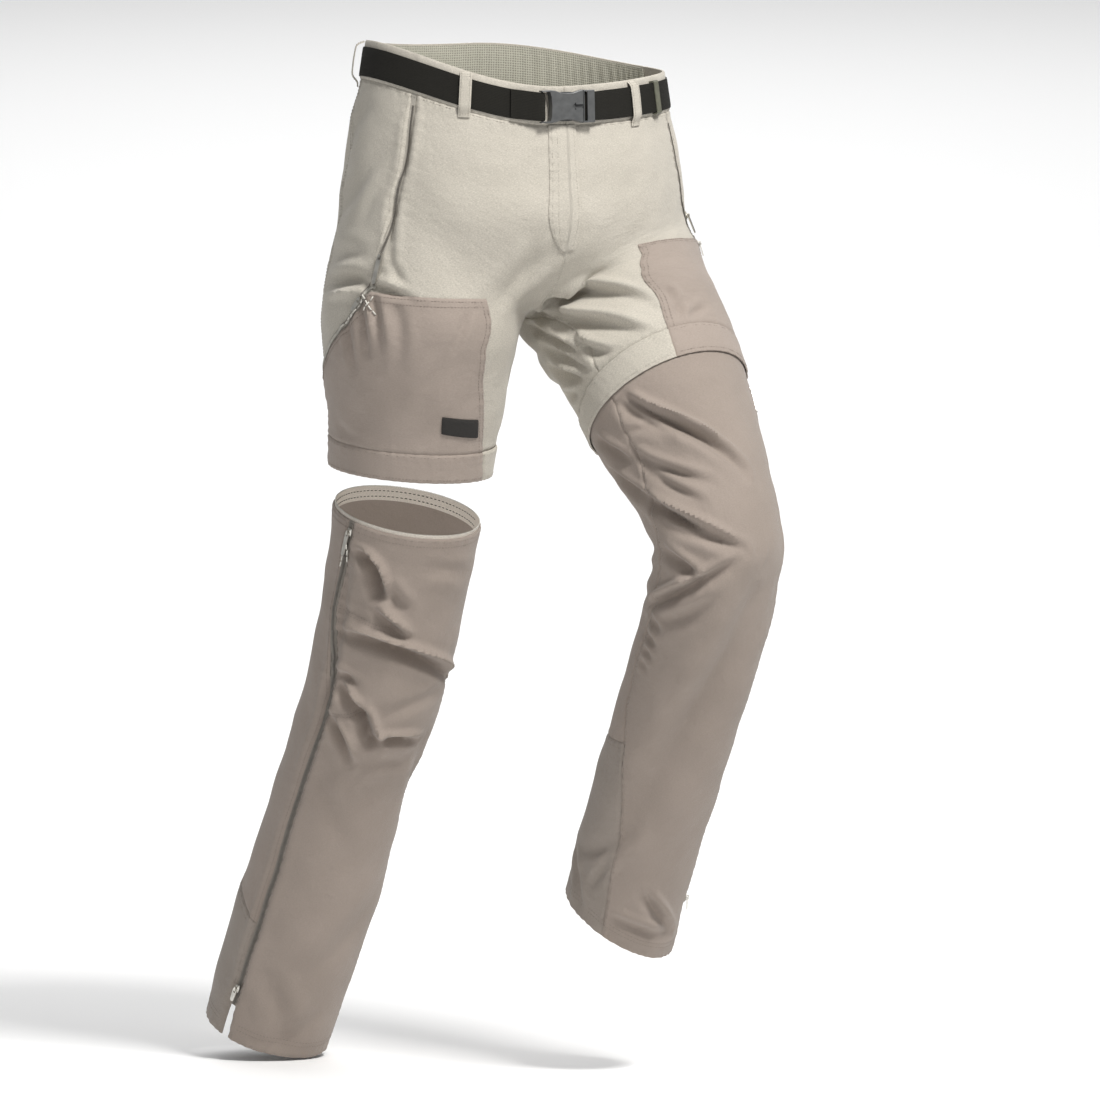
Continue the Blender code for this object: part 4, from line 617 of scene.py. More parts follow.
def line(table, offset=0.0):
    """A border read from a two-column table."""
    places, values = zip(*table)
    return lambda along: np.interp(along, places, values) + offset


def hem_line(sizes, offset=0.0):
    """A hem that may hang lower on one side."""
    mean, tilt, lowest = sizes
    return lambda share: mean + tilt * np.cos(2 * math.pi * (share - lowest)) + offset


def spaced(length, cell, tight=True):
    """Places from 0 to 1, with extra ones close to both ends."""
    count = max(int(round(length / cell)), 2)
    even = np.linspace(0, 1, count + 1)
    if not tight or length < 0.012:
        return even
    close = np.array((0.0009, 0.0020)) / length
    inner = even[(even > 0.0032 / length) & (even < 1 - 0.0032 / length)]
    return np.concatenate(((0.0,), close, inner, 1 - close[::-1], (1.0,)))


class Patch:
    """A piece of one tube between four borders, as a grid of places."""

    def __init__(self, tube, top, bottom, left, right, cell=CELL, tight=True):
        self.tube = tube
        middle_share = (left(np.array(0.3)) + right(np.array(0.3))) / 2
        height = float(bottom(middle_share) - top(middle_share))
        middle_down = top(middle_share) + height / 2
        width = float(right(middle_down) - left(middle_down)) * ROUND_LENGTH
        t = spaced(height, cell, tight)[:, None]
        s = spaced(width, cell, tight)[None, :]
        share = np.broadcast_to(left(middle_down) + (right(middle_down) - left(middle_down)) * s,
                                (t.shape[0], s.shape[1]))
        for _ in range(8):
            down = top(share) * (1 - t) + bottom(share) * t
            share = left(down) * (1 - s) + right(down) * s
        self.down = down
        self.share = share
        wrapped = np.where((share < 0) | (share > 1), np.mod(share, 1.0), share)
        base, normal = SURFACES[tube].sample(down, wrapped)
        lift = relief(tube, down, wrapped, base, normal)
        self.points = base + normal * lift[..., None]
        self.normals = normal

    def joined(self, other):
        """This patch with another one to its right, whose first column is this one's last."""
        both = Patch.__new__(Patch)
        both.tube = self.tube
        both.down = np.concatenate((self.down, other.down[:, 1:]), axis=1)
        both.share = np.concatenate((self.share, 2 - other.share[:, 1:]), axis=1)
        both.points = np.concatenate((self.points, other.points[:, 1:]), axis=1)
        both.normals = np.concatenate((self.normals, other.normals[:, 1:]), axis=1)
        return both

    def mirrored(self):
        """The same patch read from its last column to its first."""
        back = Patch.__new__(Patch)
        back.tube = self.tube
        back.down = self.down[:, ::-1]
        back.share = self.share[:, ::-1]
        back.points = self.points[:, ::-1]
        back.normals = self.normals[:, ::-1]
        return back

    def borders(self):
        """Distances in metres from the top, bottom, left and right borders."""
        down_steps = np.linalg.norm(np.diff(self.points, axis=0), axis=-1)
        side_steps = np.linalg.norm(np.diff(self.points, axis=1), axis=-1)
        top = np.concatenate((np.zeros_like(down_steps[:1]), np.cumsum(down_steps, axis=0)))
        left = np.concatenate((np.zeros_like(side_steps[:, :1]), np.cumsum(side_steps, axis=1)), axis=1)
        return {"t": top, "b": top[-1:] - top, "l": left, "r": left[:, -1:] - left}


def seam_profile(distance):
    """Cloth turned in at a seam: a small drop at the edge and a slight roll beside it."""
    return 0.00028 * bell((distance - 0.0040) / 0.0018) - 0.00095 * bell(distance / 0.0012)


def hem_profile(distance):
    """Cloth folded under at a free edge."""
    return 0.00025 - 0.00070 * bell(distance / 0.0009)


def pucker(distance, along, pitch=0.0105):
    """Small waves that sewing draws up beside a seam."""
    wave = np.sin(2 * math.pi * along / pitch + 1.7 * np.sin(2 * math.pi * along / 0.047))
    return 0.00050 * wave * np.exp(-distance / 0.0070)


def build_mesh(name, vertices, faces, uvs, material):
    """An object from plain lists, with its cloth coordinates."""
    mesh = bpy.data.meshes.new(name)
    mesh.from_pydata([tuple(v) for v in vertices], [], faces)
    layer = mesh.uv_layers.new(name="cloth")
    corner_vertices = np.zeros(len(mesh.loops), dtype=np.int32)
    mesh.loops.foreach_get("vertex_index", corner_vertices)
    layer.data.foreach_set("uv", np.asarray(uvs, dtype=np.float32)[corner_vertices].ravel())
    mesh.validate()
    mesh.shade_smooth()
    mesh.set_sharp_from_angle(angle=math.radians(58))
    mesh.materials.append(material)
    thing = bpy.data.objects.new(name, mesh)
    thing.cycles.shadow_terminator_geometry_offset = GRAZING_LIGHT_EASE
    bpy.context.scene.collection.objects.link(thing)
    return thing


def shell(name, patch, low, high, material, seams="tblr", hems="", closed=False, extra=None, puckers="tblr"):
    """A closed thin body of cloth on a patch, between two heights."""
    points, normals = patch.points, patch.normals
    distances = patch.borders()
    rise = np.zeros(points.shape[:2])
    for edge in seams:
        rise += seam_profile(distances[edge])
    for edge in hems:
        rise += hem_profile(distances[edge])
    for edge in puckers:
        along = distances["l"] if edge in "tb" else distances["t"]
        rise += pucker(distances[edge], along)
    outer = np.broadcast_to(high, rise.shape) + rise
    if extra is not None:
        outer = outer + extra(patch, distances)
    inner = np.broadcast_to(low, rise.shape) + 0.0 * rise
    outer = np.maximum(outer, inner + 0.0003)
    if closed:
        points, normals = points[:, :-1], normals[:, :-1]
        outer, inner = outer[:, :-1], inner[:, :-1]
    rows, columns = points.shape[:2]
    vertices = np.concatenate(((points + normals * outer[..., None]).reshape(-1, 3),
                               (points + normals * inner[..., None]).reshape(-1, 3)))
    flip = np.cross(points[0, 1] - points[0, 0], points[1, 0] - points[0, 0]) @ normals[0, 0] > 0
    steps = columns if closed else columns - 1
    i, j = np.meshgrid(np.arange(rows - 1), np.arange(steps), indexing="ij")
    k = (j + 1) % columns
    a, b, c, d = (i * columns + j).ravel(), (i * columns + k).ravel(), ((i + 1) * columns + k).ravel(), \
        ((i + 1) * columns + j).ravel()
    shift = rows * columns
    top = np.stack((a, b, c, d) if flip else (d, c, b, a), axis=1)
    under = np.stack((d, c, b, a) if flip else (a, b, c, d), axis=1) + shift
    rim = []
    top_line = np.arange(columns)
    low_line = top_line + (rows - 1) * columns
    if closed:
        top_line = np.append(top_line, top_line[0])
        low_line = np.append(low_line, low_line[0])
        loops = [top_line[::-1], low_line]
    else:
        right_line = np.arange(rows) * columns + columns - 1
        left_line = np.arange(rows) * columns
        loops = [np.concatenate((left_line, low_line[1:], right_line[::-1][1:], top_line[::-1][1:]))]
    for loop in loops:
        quads = np.stack((loop[:-1], loop[1:], loop[1:] + shift, loop[:-1] + shift), axis=1)
        rim.append(quads[:, ::-1] if flip else quads)
    faces = np.concatenate([top, under] + rim).tolist()
    share, down = patch.share, patch.down
    if closed:
        share, down = share[:, :-1], down[:, :-1]
    flat = np.stack((share.ravel() * ROUND_LENGTH, -down.ravel()), axis=1)
    return build_mesh(name, vertices, faces, np.concatenate((flat, flat)), material)


def sheet_size(patch):
    """The cut of a piece: width, length and area, from its own lengths on the tube."""
    distances = patch.borders()
    width = float(distances["l"][:, -1].max())
    length = float(distances["t"][-1].max())
    across = np.diff(patch.points, axis=1)[:-1]
    along = np.diff(patch.points, axis=0)[:, :-1]
    area = float(np.linalg.norm(np.cross(across, along), axis=-1).sum())
    return width, length, min(area, width * length)


def cloth_piece(name, node, patch, low, high, material, slot, rests_on=(), **how):
    """A panel: its shell and its place on the body; the cut's width, length and area are worked out but not kept."""
    piece = shell(name, patch, low, high, material, **how)
    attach(piece, "cloth")
    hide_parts(node)
    width, length, area = sheet_size(patch)
    return piece


# Heights of the layers over the panels' outer face.
POCKET_OUTER = LAYER_GAP + WALL
TAPE_OUTER = LAYER_GAP + 0.0010
WAISTBAND_OUTER = 0.0006
LABEL_CORNERS = ((0.345, 0.263), (0.351, 0.188), (0.372, 0.177), (0.364, 0.258))

# The belt: height of its middle over the waistband, its other layer, thickness, lift at the keeper.
BELT_NEAR = 0.00175
BELT_OVER = 0.00365
BELT_WALL = 0.0015
BELT_HALF = 0.0146
KEEPER_SHARE = 0.2532
KEEPER_LIFT = 0.0013
KEEPER_REACH = 0.014
BELT_LEAVES = {"right": 0.1105, "left": 0.0935}
TAIL_END = 0.2829
TURN_BACK_END = 0.0950

# The buckle's middle and its axes: towards the wearer's left, up and out.
BUCKLE_MIDDLE = (0.00024, -0.12611, -0.03723)
BUCKLE_ALONG = (0.99967, -0.00146, -0.02546)
BUCKLE_UP = (0.02547, 0.10196, 0.99446)
BUCKLE_OUT = (0.00115, -0.99479, 0.10197)
# Where the webbing turns: along the buckle, height, straight run, turn's radius.
SOCKET_TURN = (-0.0275, -0.0004, 0.0030)
LADDER_TURN = (0.0215, -0.0019, 0.0092)
TURN_RADIUS = 0.00235

# Belt loops: name, tube, share, height over the waistband.
BELT_LOOPS = (
    ("front_right", "right", 0.2100, 0.0045),
    ("front_left", "left", 0.1750, 0.0062),
    ("side_right", "right", 0.6000, 0.0095),
    ("side_left", "left", 0.6000, 0.0095),
    ("back_right", "right", 0.9850, 0.0045),
)
LOOP_SHAPE = (
    (0.0018, 0.0), (0.0046, 0.75), (0.0075, 0.96), (0.0120, 1.0), (0.0215, 1.04), (0.0310, 1.0),
    (0.0360, 0.96), (0.0390, 0.75), (0.0430, 0.10), (0.0480, -0.02),
)
LOOP_WIDTH = 0.0125
LOOP_WALL = 0.0010
LOOP_FOOT = 0.0014

# Stitches and zip teeth.
STITCH_PITCH = 0.0036
STITCH_LENGTH = 0.0027
STITCH_RADIUS = 0.00026

# Knee darts beside the side zip: down at both ends, share at both ends.
KNEE_DARTS = (((0.527, 0.535), (0.412, 0.262)), ((0.638, 0.624), (0.372, 0.288)))
# Cord ends knotted on each pull tab: tube, down at both ends, share at both ends, height.
CORD_LENGTH = 0.0070
CORD_RADIUS = 0.0009
CORDS = {
    "pull_hand_right": (
        ("right", (0.238, 0.252), (0.404, 0.424), 0.0034),
        ("right", (0.238, 0.252), (0.424, 0.404), 0.0034),
    ),
    "pull_thigh_right": (
        ("right", (0.246, 0.262), (0.432, 0.452), 0.0030),
        ("right", (0.250, 0.272), (0.438, 0.470), 0.0030),
    ),
    "pull_side_right": (
        ("loose", (0.452, 0.478), (0.424, 0.413), 0.0030),
        ("loose", (0.452, 0.486), (0.424, 0.428), 0.0030),
    ),
}
TOOTH_PITCH = 0.0015
TOOTH_SIZE = (0.0021, 0.0008, 0.0007)


def upper_lines(name):
    """Named borders of the short trousers on one side."""
    pocket = POCKET_ROW[name]
    hem = SHORT_HEM[name]
    zip_end = POCKET_TOP[name] + 0.010
    zip_front = line([(part * POCKET_TOP[name], share - ZIP_SHARE / 2) for part, share in HAND_ZIP])
    return {
        "waist_top": level(0.0),
        "waist_seam": level(WAIST_SEAM),
        "pocket_top": line(pocket),
        "above_pocket": line(pocket, -ZIP_TAPE_WIDTH),
        "band_seam": hem_line(hem, -BAND),
        "zip_low": hem_line(hem, -ZIP_COVER),
        "hem": hem_line(hem),
        "centre": line(INSEAM[name]),
        "back": line(INSEAM[name], 1.0),
        "fly": level(FLY_EDGE[name]),
        "pocket_inner": line(POCKET_EDGE[name]),
        "zip_front": zip_front,
        "zip_back": lambda down: zip_front(down) + ZIP_SHARE * ease((zip_end - down) / 0.008),
        "zip_middle": lambda down: zip_front(down) + ZIP_SHARE / 2,
        "outseam": level(OUTSEAM),
    }


def lower_lines(name):
    """Named borders of one lower leg."""
    hem = LONG_HEM[name]
    edge = level(LEG_TOP) if name == "loose" else hem_line(SHORT_HEM["left"], -ZIP_COVER)
    middle = line(LEG_ZIP)

    def half_opening(down):
        """Half the zip's width, wider in the slit at the hem."""
        slit = ease((down - (hem[0] - SLIT_LENGTH)) / SLIT_LENGTH)
        return LEG_ZIP_SHARE / 2 + (SLIT_SHARE - LEG_ZIP_SHARE) / 2 * slit

    return {
        "edge": edge,
        "tape_top": level(LEG_TOP - ZIP_TAPE_ABOVE),
        "tape_low": lambda share: edge(share) + ZIP_TAPE_BELOW,
        "calf": line(CALF_ROW),
        "slit": hem_line(hem, -SLIT_LENGTH),
        "hem": hem_line(hem),
        "inseam": line(INSEAM[name]),
        "inseam_end": line(INSEAM[name], 1.0),
        "zip_front": lambda down: middle(down) - half_opening(down),
        "zip_back": lambda down: middle(down) + half_opening(down),
        "zip_middle": middle,
    }


UPPER = {name: upper_lines(name) for name in ("right", "left")}
LOWER = {"left": lower_lines("left"), "loose": lower_lines("loose")}


def new_material(name, roughness, metallic=0.0):
    """An empty material with its shader."""
    material = bpy.data.materials.new(name)
    material.use_nodes = True
    shader = material.node_tree.nodes["Principled BSDF"]
    shader.inputs["Roughness"].default_value = roughness
    shader.inputs["Metallic"].default_value = metallic
    return material, material.node_tree, shader


def coordinates(tree, kind, scale):
    """Scaled texture coordinates, from the cloth's own map or from the object."""
    source = tree.nodes.new("ShaderNodeTexCoord")
    mapping = tree.nodes.new("ShaderNodeMapping")
    mapping.inputs["Scale"].default_value = scale
    tree.links.new(source.outputs[kind], mapping.inputs["Vector"])
    return mapping.outputs["Vector"]


def noise(tree, vector, scale, detail=2.0):
    """A noise value from 0 to 1."""
    node = tree.nodes.new("ShaderNodeTexNoise")
    node.inputs["Scale"].default_value = scale
    node.inputs["Detail"].default_value = detail
    tree.links.new(vector, node.inputs["Vector"])
    return node.outputs["Fac"]


def waves(tree, vector, pitch, direction):
    """Ridges a given distance apart."""
    node = tree.nodes.new("ShaderNodeTexWave")
    node.bands_direction = direction
    node.inputs["Scale"].default_value = 2 * math.pi / (20 * pitch)
    node.inputs["Distortion"].default_value = 0.4
    node.inputs["Detail"].default_value = 1.0
    node.inputs["Detail Scale"].default_value = 2.0
    tree.links.new(vector, node.inputs["Vector"])
    return node.outputs["Fac"]


def ramp(tree, value, stops):
    """A value turned into colours; each stop is a place and a colour."""
    node = tree.nodes.new("ShaderNodeValToRGB")
    node.color_ramp.elements[0].position, low = stops[0]
    node.color_ramp.elements[0].color = (*low, 1.0)
    node.color_ramp.elements[1].position, high = stops[-1]
    node.color_ramp.elements[1].color = (*high, 1.0)
    for place, colour in stops[1:-1]:
        node.color_ramp.elements.new(place).color = (*colour, 1.0)
    tree.links.new(value, node.inputs["Fac"])
    return node.outputs["Color"]


def mixed(tree, first, second, share=1.0, kind="MULTIPLY"):
    """Two colours together."""
    node = tree.nodes.new("ShaderNodeMixRGB")
    node.blend_type = kind
    node.inputs["Fac"].default_value = share
    tree.links.new(first, node.inputs["Color1"])
    tree.links.new(second, node.inputs["Color2"])
    return node.outputs["Color"]


def raised(tree, shader, heights):
    """Bumps on the shader: each a value, a distance in metres and a strength."""
    previous = None
    for value, distance, strength in heights:
        bump = tree.nodes.new("ShaderNodeBump")
        bump.inputs["Distance"].default_value = distance
        bump.inputs["Strength"].default_value = strength
        tree.links.new(value, bump.inputs["Height"])
        if previous is not None:
            tree.links.new(previous, bump.inputs["Normal"])
        previous = bump.outputs["Normal"]
    tree.links.new(previous, shader.inputs["Normal"])


def tint(colour, factor):
    """A lighter or darker colour."""
    return tuple(min(value * factor, 1.0) for value in colour)


def cloth_material(name, colour, contrast, roughness=0.85, sheen=0.15, pitch=0.0006):
    """Plain woven cloth of mixed yarns."""
    material, tree, shader = new_material(name, roughness)
    shader.inputs["Sheen Weight"].default_value = sheen
    flat = coordinates(tree, "UV", (1.0, 1.0, 1.0))
    stretched = coordinates(tree, "UV", (0.35, 1.0, 1.0))
    upright = coordinates(tree, "UV", (1.0, 0.35, 1.0))
    yarn = ramp(tree, noise(tree, stretched, 1500.0, 3.0),
                ((0.30, tint(colour, 1 - contrast)), (0.70, tint(colour, 1 + contrast))))
    other = ramp(tree, noise(tree, upright, 1500.0, 3.0), ((0.30, (1 - contrast,) * 3), (0.70, (1.0,) * 3)))
    broad = ramp(tree, noise(tree, flat, 14.0, 3.0), ((0.25, (0.90, 0.90, 0.89)), (0.75, (1.0, 1.0, 1.0))))
    tree.links.new(mixed(tree, mixed(tree, yarn, other), broad), shader.inputs["Base Color"])
    raised(tree, shader, (
        (noise(tree, flat, 38.0, 3.0), 0.0060, 0.30),
        (noise(tree, flat, 160.0, 3.0), 0.0014, 0.40),
        (waves(tree, flat, pitch, "X"), 0.00012, 0.5),
        (waves(tree, flat, pitch, "Y"), 0.00012, 0.5),
    ))
    return material


def mesh_material(name, colour, dark):
    """Open knitted mesh with rows of round holes, painted dark as painted shade seen through them."""
    material, tree, shader = new_material(name, 0.9)
    flat = coordinates(tree, "UV", (1.0, 1.0, 1.0))
    cells = tree.nodes.new("ShaderNodeTexVoronoi")
    cells.inputs["Scale"].default_value = 420.0
    cells.inputs["Randomness"].default_value = 0.12
    tree.links.new(flat, cells.inputs["Vector"])
    # Painted shade: the holes are dark spots of colour for the shade behind the mesh.
    holes = ramp(tree, cells.outputs["Distance"], ((0.22, dark), (0.42, colour)))
    broad = ramp(tree, noise(tree, flat, 20.0), ((0.3, (0.88, 0.88, 0.88)), (0.7, (1.0, 1.0, 1.0))))
    tree.links.new(mixed(tree, holes, broad), shader.inputs["Base Color"])
    raised(tree, shader, ((cells.outputs["Distance"], 0.0005, 0.9),))
    return material


def tape_material(name, colour):
    """Close woven zip tape with ribs along it."""
    material, tree, shader = new_material(name, 0.8)
    flat = coordinates(tree, "UV", (1.0, 1.0, 1.0))
    grain = ramp(tree, noise(tree, flat, 900.0, 3.0), ((0.3, tint(colour, 0.82)), (0.7, tint(colour, 1.12))))
    tree.links.new(grain, shader.inputs["Base Color"])
    raised(tree, shader, ((waves(tree, flat, 0.0009, "X"), 0.0002, 0.6), (waves(tree, flat, 0.0005, "Y"), 0.0001, 0.5)))
    return material


def webbing_material(name, colour):
    """Flat woven webbing: ribs across it and a thin pattern along it."""
    material, tree, shader = new_material(name, 0.78)
    shader.inputs["Specular IOR Level"].default_value = 0.25
    flat = coordinates(tree, "UV", (1.0, 1.0, 1.0))
    across = waves(tree, flat, 0.0011, "X")
    along = waves(tree, flat, 0.0016, "Y")
    base = ramp(tree, across, ((0.15, tint(colour, 0.55)), (0.85, tint(colour, 1.5))))
    grain = ramp(tree, noise(tree, flat, 700.0, 3.0), ((0.3, (0.7, 0.7, 0.7)), (0.7, (1.0, 1.0, 1.0))))
    tree.links.new(mixed(tree, base, grain), shader.inputs["Base Color"])
    raised(tree, shader, ((across, 0.0004, 0.8), (along, 0.0003, 0.6)))
    return material


def hard_material(name, colour, roughness, metallic=0.0, grain=900.0, depth=0.00006):
    """Moulded plastic or cast metal with a fine surface grain and rubbed places."""
    material, tree, shader = new_material(name, roughness, metallic)
    place = coordinates(tree, "Object", (1.0, 1.0, 1.0))
    fine = noise(tree, place, grain, 3.0)
    worn = ramp(tree, noise(tree, place, 160.0, 4.0), ((0.35, tint(colour, 0.85)), (0.70, tint(colour, 1.15))))
    tree.links.new(worn, shader.inputs["Base Color"])
    rough = tree.nodes.new("ShaderNodeMapRange")
    rough.inputs["To Min"].default_value = roughness - 0.08
    rough.inputs["To Max"].default_value = roughness + 0.10
    tree.links.new(noise(tree, place, 90.0, 2.0), rough.inputs["Value"])
    tree.links.new(rough.outputs["Result"], shader.inputs["Roughness"])
    raised(tree, shader, ((fine, depth, 0.5),))
    return material


def thread_material(name, colour):
    """Sewing thread with a twist."""
    material, tree, shader = new_material(name, 0.7)
    place = coordinates(tree, "Object", (1.0, 1.0, 1.0))
    twist = noise(tree, place, 2600.0, 1.0)
    tree.links.new(ramp(tree, twist, ((0.3, tint(colour, 0.75)), (0.7, tint(colour, 1.1)))), shader.inputs["Base Color"])
    raised(tree, shader, ((twist, 0.0001, 0.5),))
    return material


STONE = (0.545, 0.507, 0.440)
TAUPE = (0.325, 0.270, 0.232)
MATERIALS = {
    "stone": cloth_material("heathered_stone_cloth", STONE, 0.17),
    "taupe": cloth_material("taupe_cloth_weave", TAUPE, 0.07, pitch=0.0005),
    "calf": cloth_material("grey_taupe_cloth_weave", (0.300, 0.258, 0.224), 0.09, pitch=0.0005),
    "pocket": cloth_material("taupe_pocket_weave", (0.355, 0.296, 0.256), 0.07, pitch=0.0005),
    # The mesh's second colour is painted shade in its holes.
    "mesh": mesh_material("open_mesh_shaded_holes", (0.50, 0.49, 0.41), (0.26, 0.25, 0.21)),
    "tape": tape_material("woven_zip_tape", (0.235, 0.212, 0.185)),
    # Painted light: a pale tape colour that stands in for light reaching the loose leg's inside.
    "painted_light_tape": tape_material("painted_light_zip_tape", (0.66, 0.60, 0.53)),
    # Partly the tape's own stone colour, partly painted shade: darkened to 0.72 for the shadow on the recessed hand zip
    # tape.
    "shaded_stone_tape": tape_material("shaded_stone_zip_tape", tint(STONE, 0.72)),
    "webbing": webbing_material("ribbed_webbing", (0.013, 0.012, 0.009)),
    "buckle": hard_material("moulded_buckle_plastic", (0.075, 0.077, 0.078), 0.42),
    "keeper": hard_material("moulded_keeper_plastic", (0.115, 0.115, 0.085), 0.5),
    "label": cloth_material("plain_patch_cloth", (0.022, 0.020, 0.018), 0.12, sheen=0.0),
    "metal": hard_material("brushed_slider_metal", (0.66, 0.64, 0.59), 0.32, 1.0, grain=1800.0, depth=0.00003),
    "teeth": hard_material("moulded_teeth", (0.50, 0.48, 0.43), 0.4, 0.0),
    "dark_teeth": hard_material("dark_moulded_teeth", (0.17, 0.155, 0.135), 0.45, 0.0),
    "stone_thread": thread_material("stone_thread", tint(STONE, 0.80)),
    "taupe_thread": thread_material("taupe_thread", tint(TAUPE, 0.72)),
    "cord": thread_material("pale_cord", (0.66, 0.64, 0.58)),
    "dark_thread": thread_material("dark_thread", (0.05, 0.047, 0.04)),
}


def place_of(tube, down, share):
    """Point, outward normal, and metres to one whole share at a place."""
    base, normal = SURFACES[tube].sample(down, np.mod(share, 1.0) if abs(share - 1.0) > 1e-9 else share)
    ahead = SURFACES[tube].sample(down, min(share + 0.004, 1.0))[0]
    behind = SURFACES[tube].sample(down, max(share - 0.004, 0.0))[0]
    return base, normal, float(np.linalg.norm(ahead - behind)) / (min(share + 0.004, 1) - max(share - 0.004, 0))


def girth(tube, down, share):
    """Metres to one whole share, at many places."""
    share = np.clip(np.where((share < 0) | (share > 1), np.mod(share, 1.0), share), 0.004, 0.996)
    ahead = SURFACES[tube].sample(down, share + 0.004)[0]
    behind = SURFACES[tube].sample(down, share - 0.004)[0]
    return np.linalg.norm(ahead - behind, axis=-1) / 0.008


def downward(tube, share_line, start, end, beside=0.0, height=0.0, count=160):
    """A run of points down a tube, some metres beside a line."""
    down = np.linspace(start, end, count)
    share = share_line(down)
    share = share + beside / girth(tube, down, share)
    return on_cloth(tube, down, share, height)


def around(tube, down_line, start, end, below=0.0, height=0.0, count=160):
    """A run of points round a tube, some metres below a line."""
    share = np.linspace(start, end, count)
    return on_cloth(tube, down_line(share) + below, share, height)


def spots(path, pitch, start=0.5):
    """Evenly spaced places on a run of points, with the run's direction there."""
    steps = np.linalg.norm(np.diff(path, axis=0), axis=1)
    along = np.concatenate(((0.0,), np.cumsum(steps)))
    places = np.arange(start * pitch, along[-1], pitch)
    points = np.stack([np.interp(places, along, path[:, axis]) for axis in range(3)], axis=1)
    tangent = np.gradient(path, axis=0)
    direction = unit(np.stack([np.interp(places, along, tangent[:, axis]) for axis in range(3)], axis=1))
    return points, direction


def out_of(tube, points):
    """Rough outward directions, away from the tube's own middle line."""
    surface = SURFACES[tube]
    downs = surface.downs
    middles = np.stack([surface.sample(np.full(16, down), np.arange(16) / 16)[0].mean(axis=0) for down in downs[::4]])
    if tube != "loose":
        other = SURFACES["right" if tube == "left" else "left"]
        for index, down in enumerate(downs[::4]):
            if down < CROTCH_DOWN:
                mirror = other.sample(np.full(16, down), np.arange(16) / 16)[0].mean(axis=0)
                middles[index] = (middles[index] + mirror) / 2
    order = np.argmin(np.linalg.norm(points[:, None] - middles[None], axis=-1), axis=1)
    return unit(points - middles[order])


def loose_mesh(name, vertices, faces, material, flat_shading=False, body="cloth"):
    """A piece made of many small solids."""
    mesh = bpy.data.meshes.new(name)
    mesh.from_pydata([tuple(v) for v in vertices], [], faces)
    mesh.validate()
    if not flat_shading:
        mesh.shade_smooth()
    mesh.materials.append(material)
    thing = bpy.data.objects.new(name, mesh)
    bpy.context.scene.collection.objects.link(thing)
    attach(thing, body)
    return thing


def sew(name, runs, material, pitch=STITCH_PITCH, length=STITCH_LENGTH, radius=STITCH_RADIUS, body="cloth"):
    """Rows of single stitches, each a small spindle of thread lying on the cloth."""
    vertices = []
    faces = []
    shape = ((-0.5, 0.0), (-0.32, 1.0), (0.32, 1.0), (0.5, 0.0))
    for tube, path in runs:
        points, direction = spots(path, pitch)
        out = out_of(tube, points)
        across = unit(np.cross(direction, out))
        out = np.cross(across, direction)
        for point, along, side, up in zip(points, direction, across, out):
            start = len(vertices)
            vertices.append(point + along * length * shape[0][0] - up * radius)
            for place, wide in shape[1:3]:
                centre = point + along * length * place
                vertices.extend((centre + side * radius * wide, centre + up * radius * wide,
                                 centre - side * radius * wide, centre - up * radius * wide))
            vertices.append(point + along * length * shape[3][0] - up * radius)
            for k in range(4):
                m = (k + 1) % 4
                faces.append((start, start + 1 + k, start + 1 + m))
                faces.append((start + 1 + k, start + 5 + k, start + 5 + m, start + 1 + m))
                faces.append((start + 5 + k, start + 9, start + 5 + m))
    return loose_mesh(name, vertices, faces, material, body=body)


def teeth(name, runs, material, one_sided=False):
    """Zip teeth: two rows that grip each other along the middle of the tape."""
    vertices = []
    faces = []
    width, thick, tall = TOOTH_SIZE
    for tube, path in runs:
        for sign in ((1,) if one_sided else (1, -1)):
            points, direction = spots(path, TOOTH_PITCH, 0.5 if sign > 0 else 1.0)
            out = out_of(tube, points)
            across = unit(np.cross(direction, out))
            out = np.cross(across, direction)
            centres = points + across * sign * width * 0.28
            for point, along, side, up in zip(centres, direction, across, out):
                start = len(vertices)
                for height, scale in ((-0.3, 1.0), (0.35, 1.0), (0.7, 0.72)):
                    for x, y in ((-1, -1), (1, -1), (1, 1), (-1, 1)):
                        vertices.append(point + side * x * width / 2 * scale + along * y * thick / 2 * scale
                                        + up * tall * height)
                faces.append((start + 3, start + 2, start + 1, start))
                faces.append((start + 8, start + 9, start + 10, start + 11))
                for low in (0, 4):
                    for k in range(4):
                        m = (k + 1) % 4
                        faces.append((start + low + k, start + low + m, start + low + 4 + m, start + low + 4 + k))
    return loose_mesh(name, vertices, faces, material, flat_shading=True)


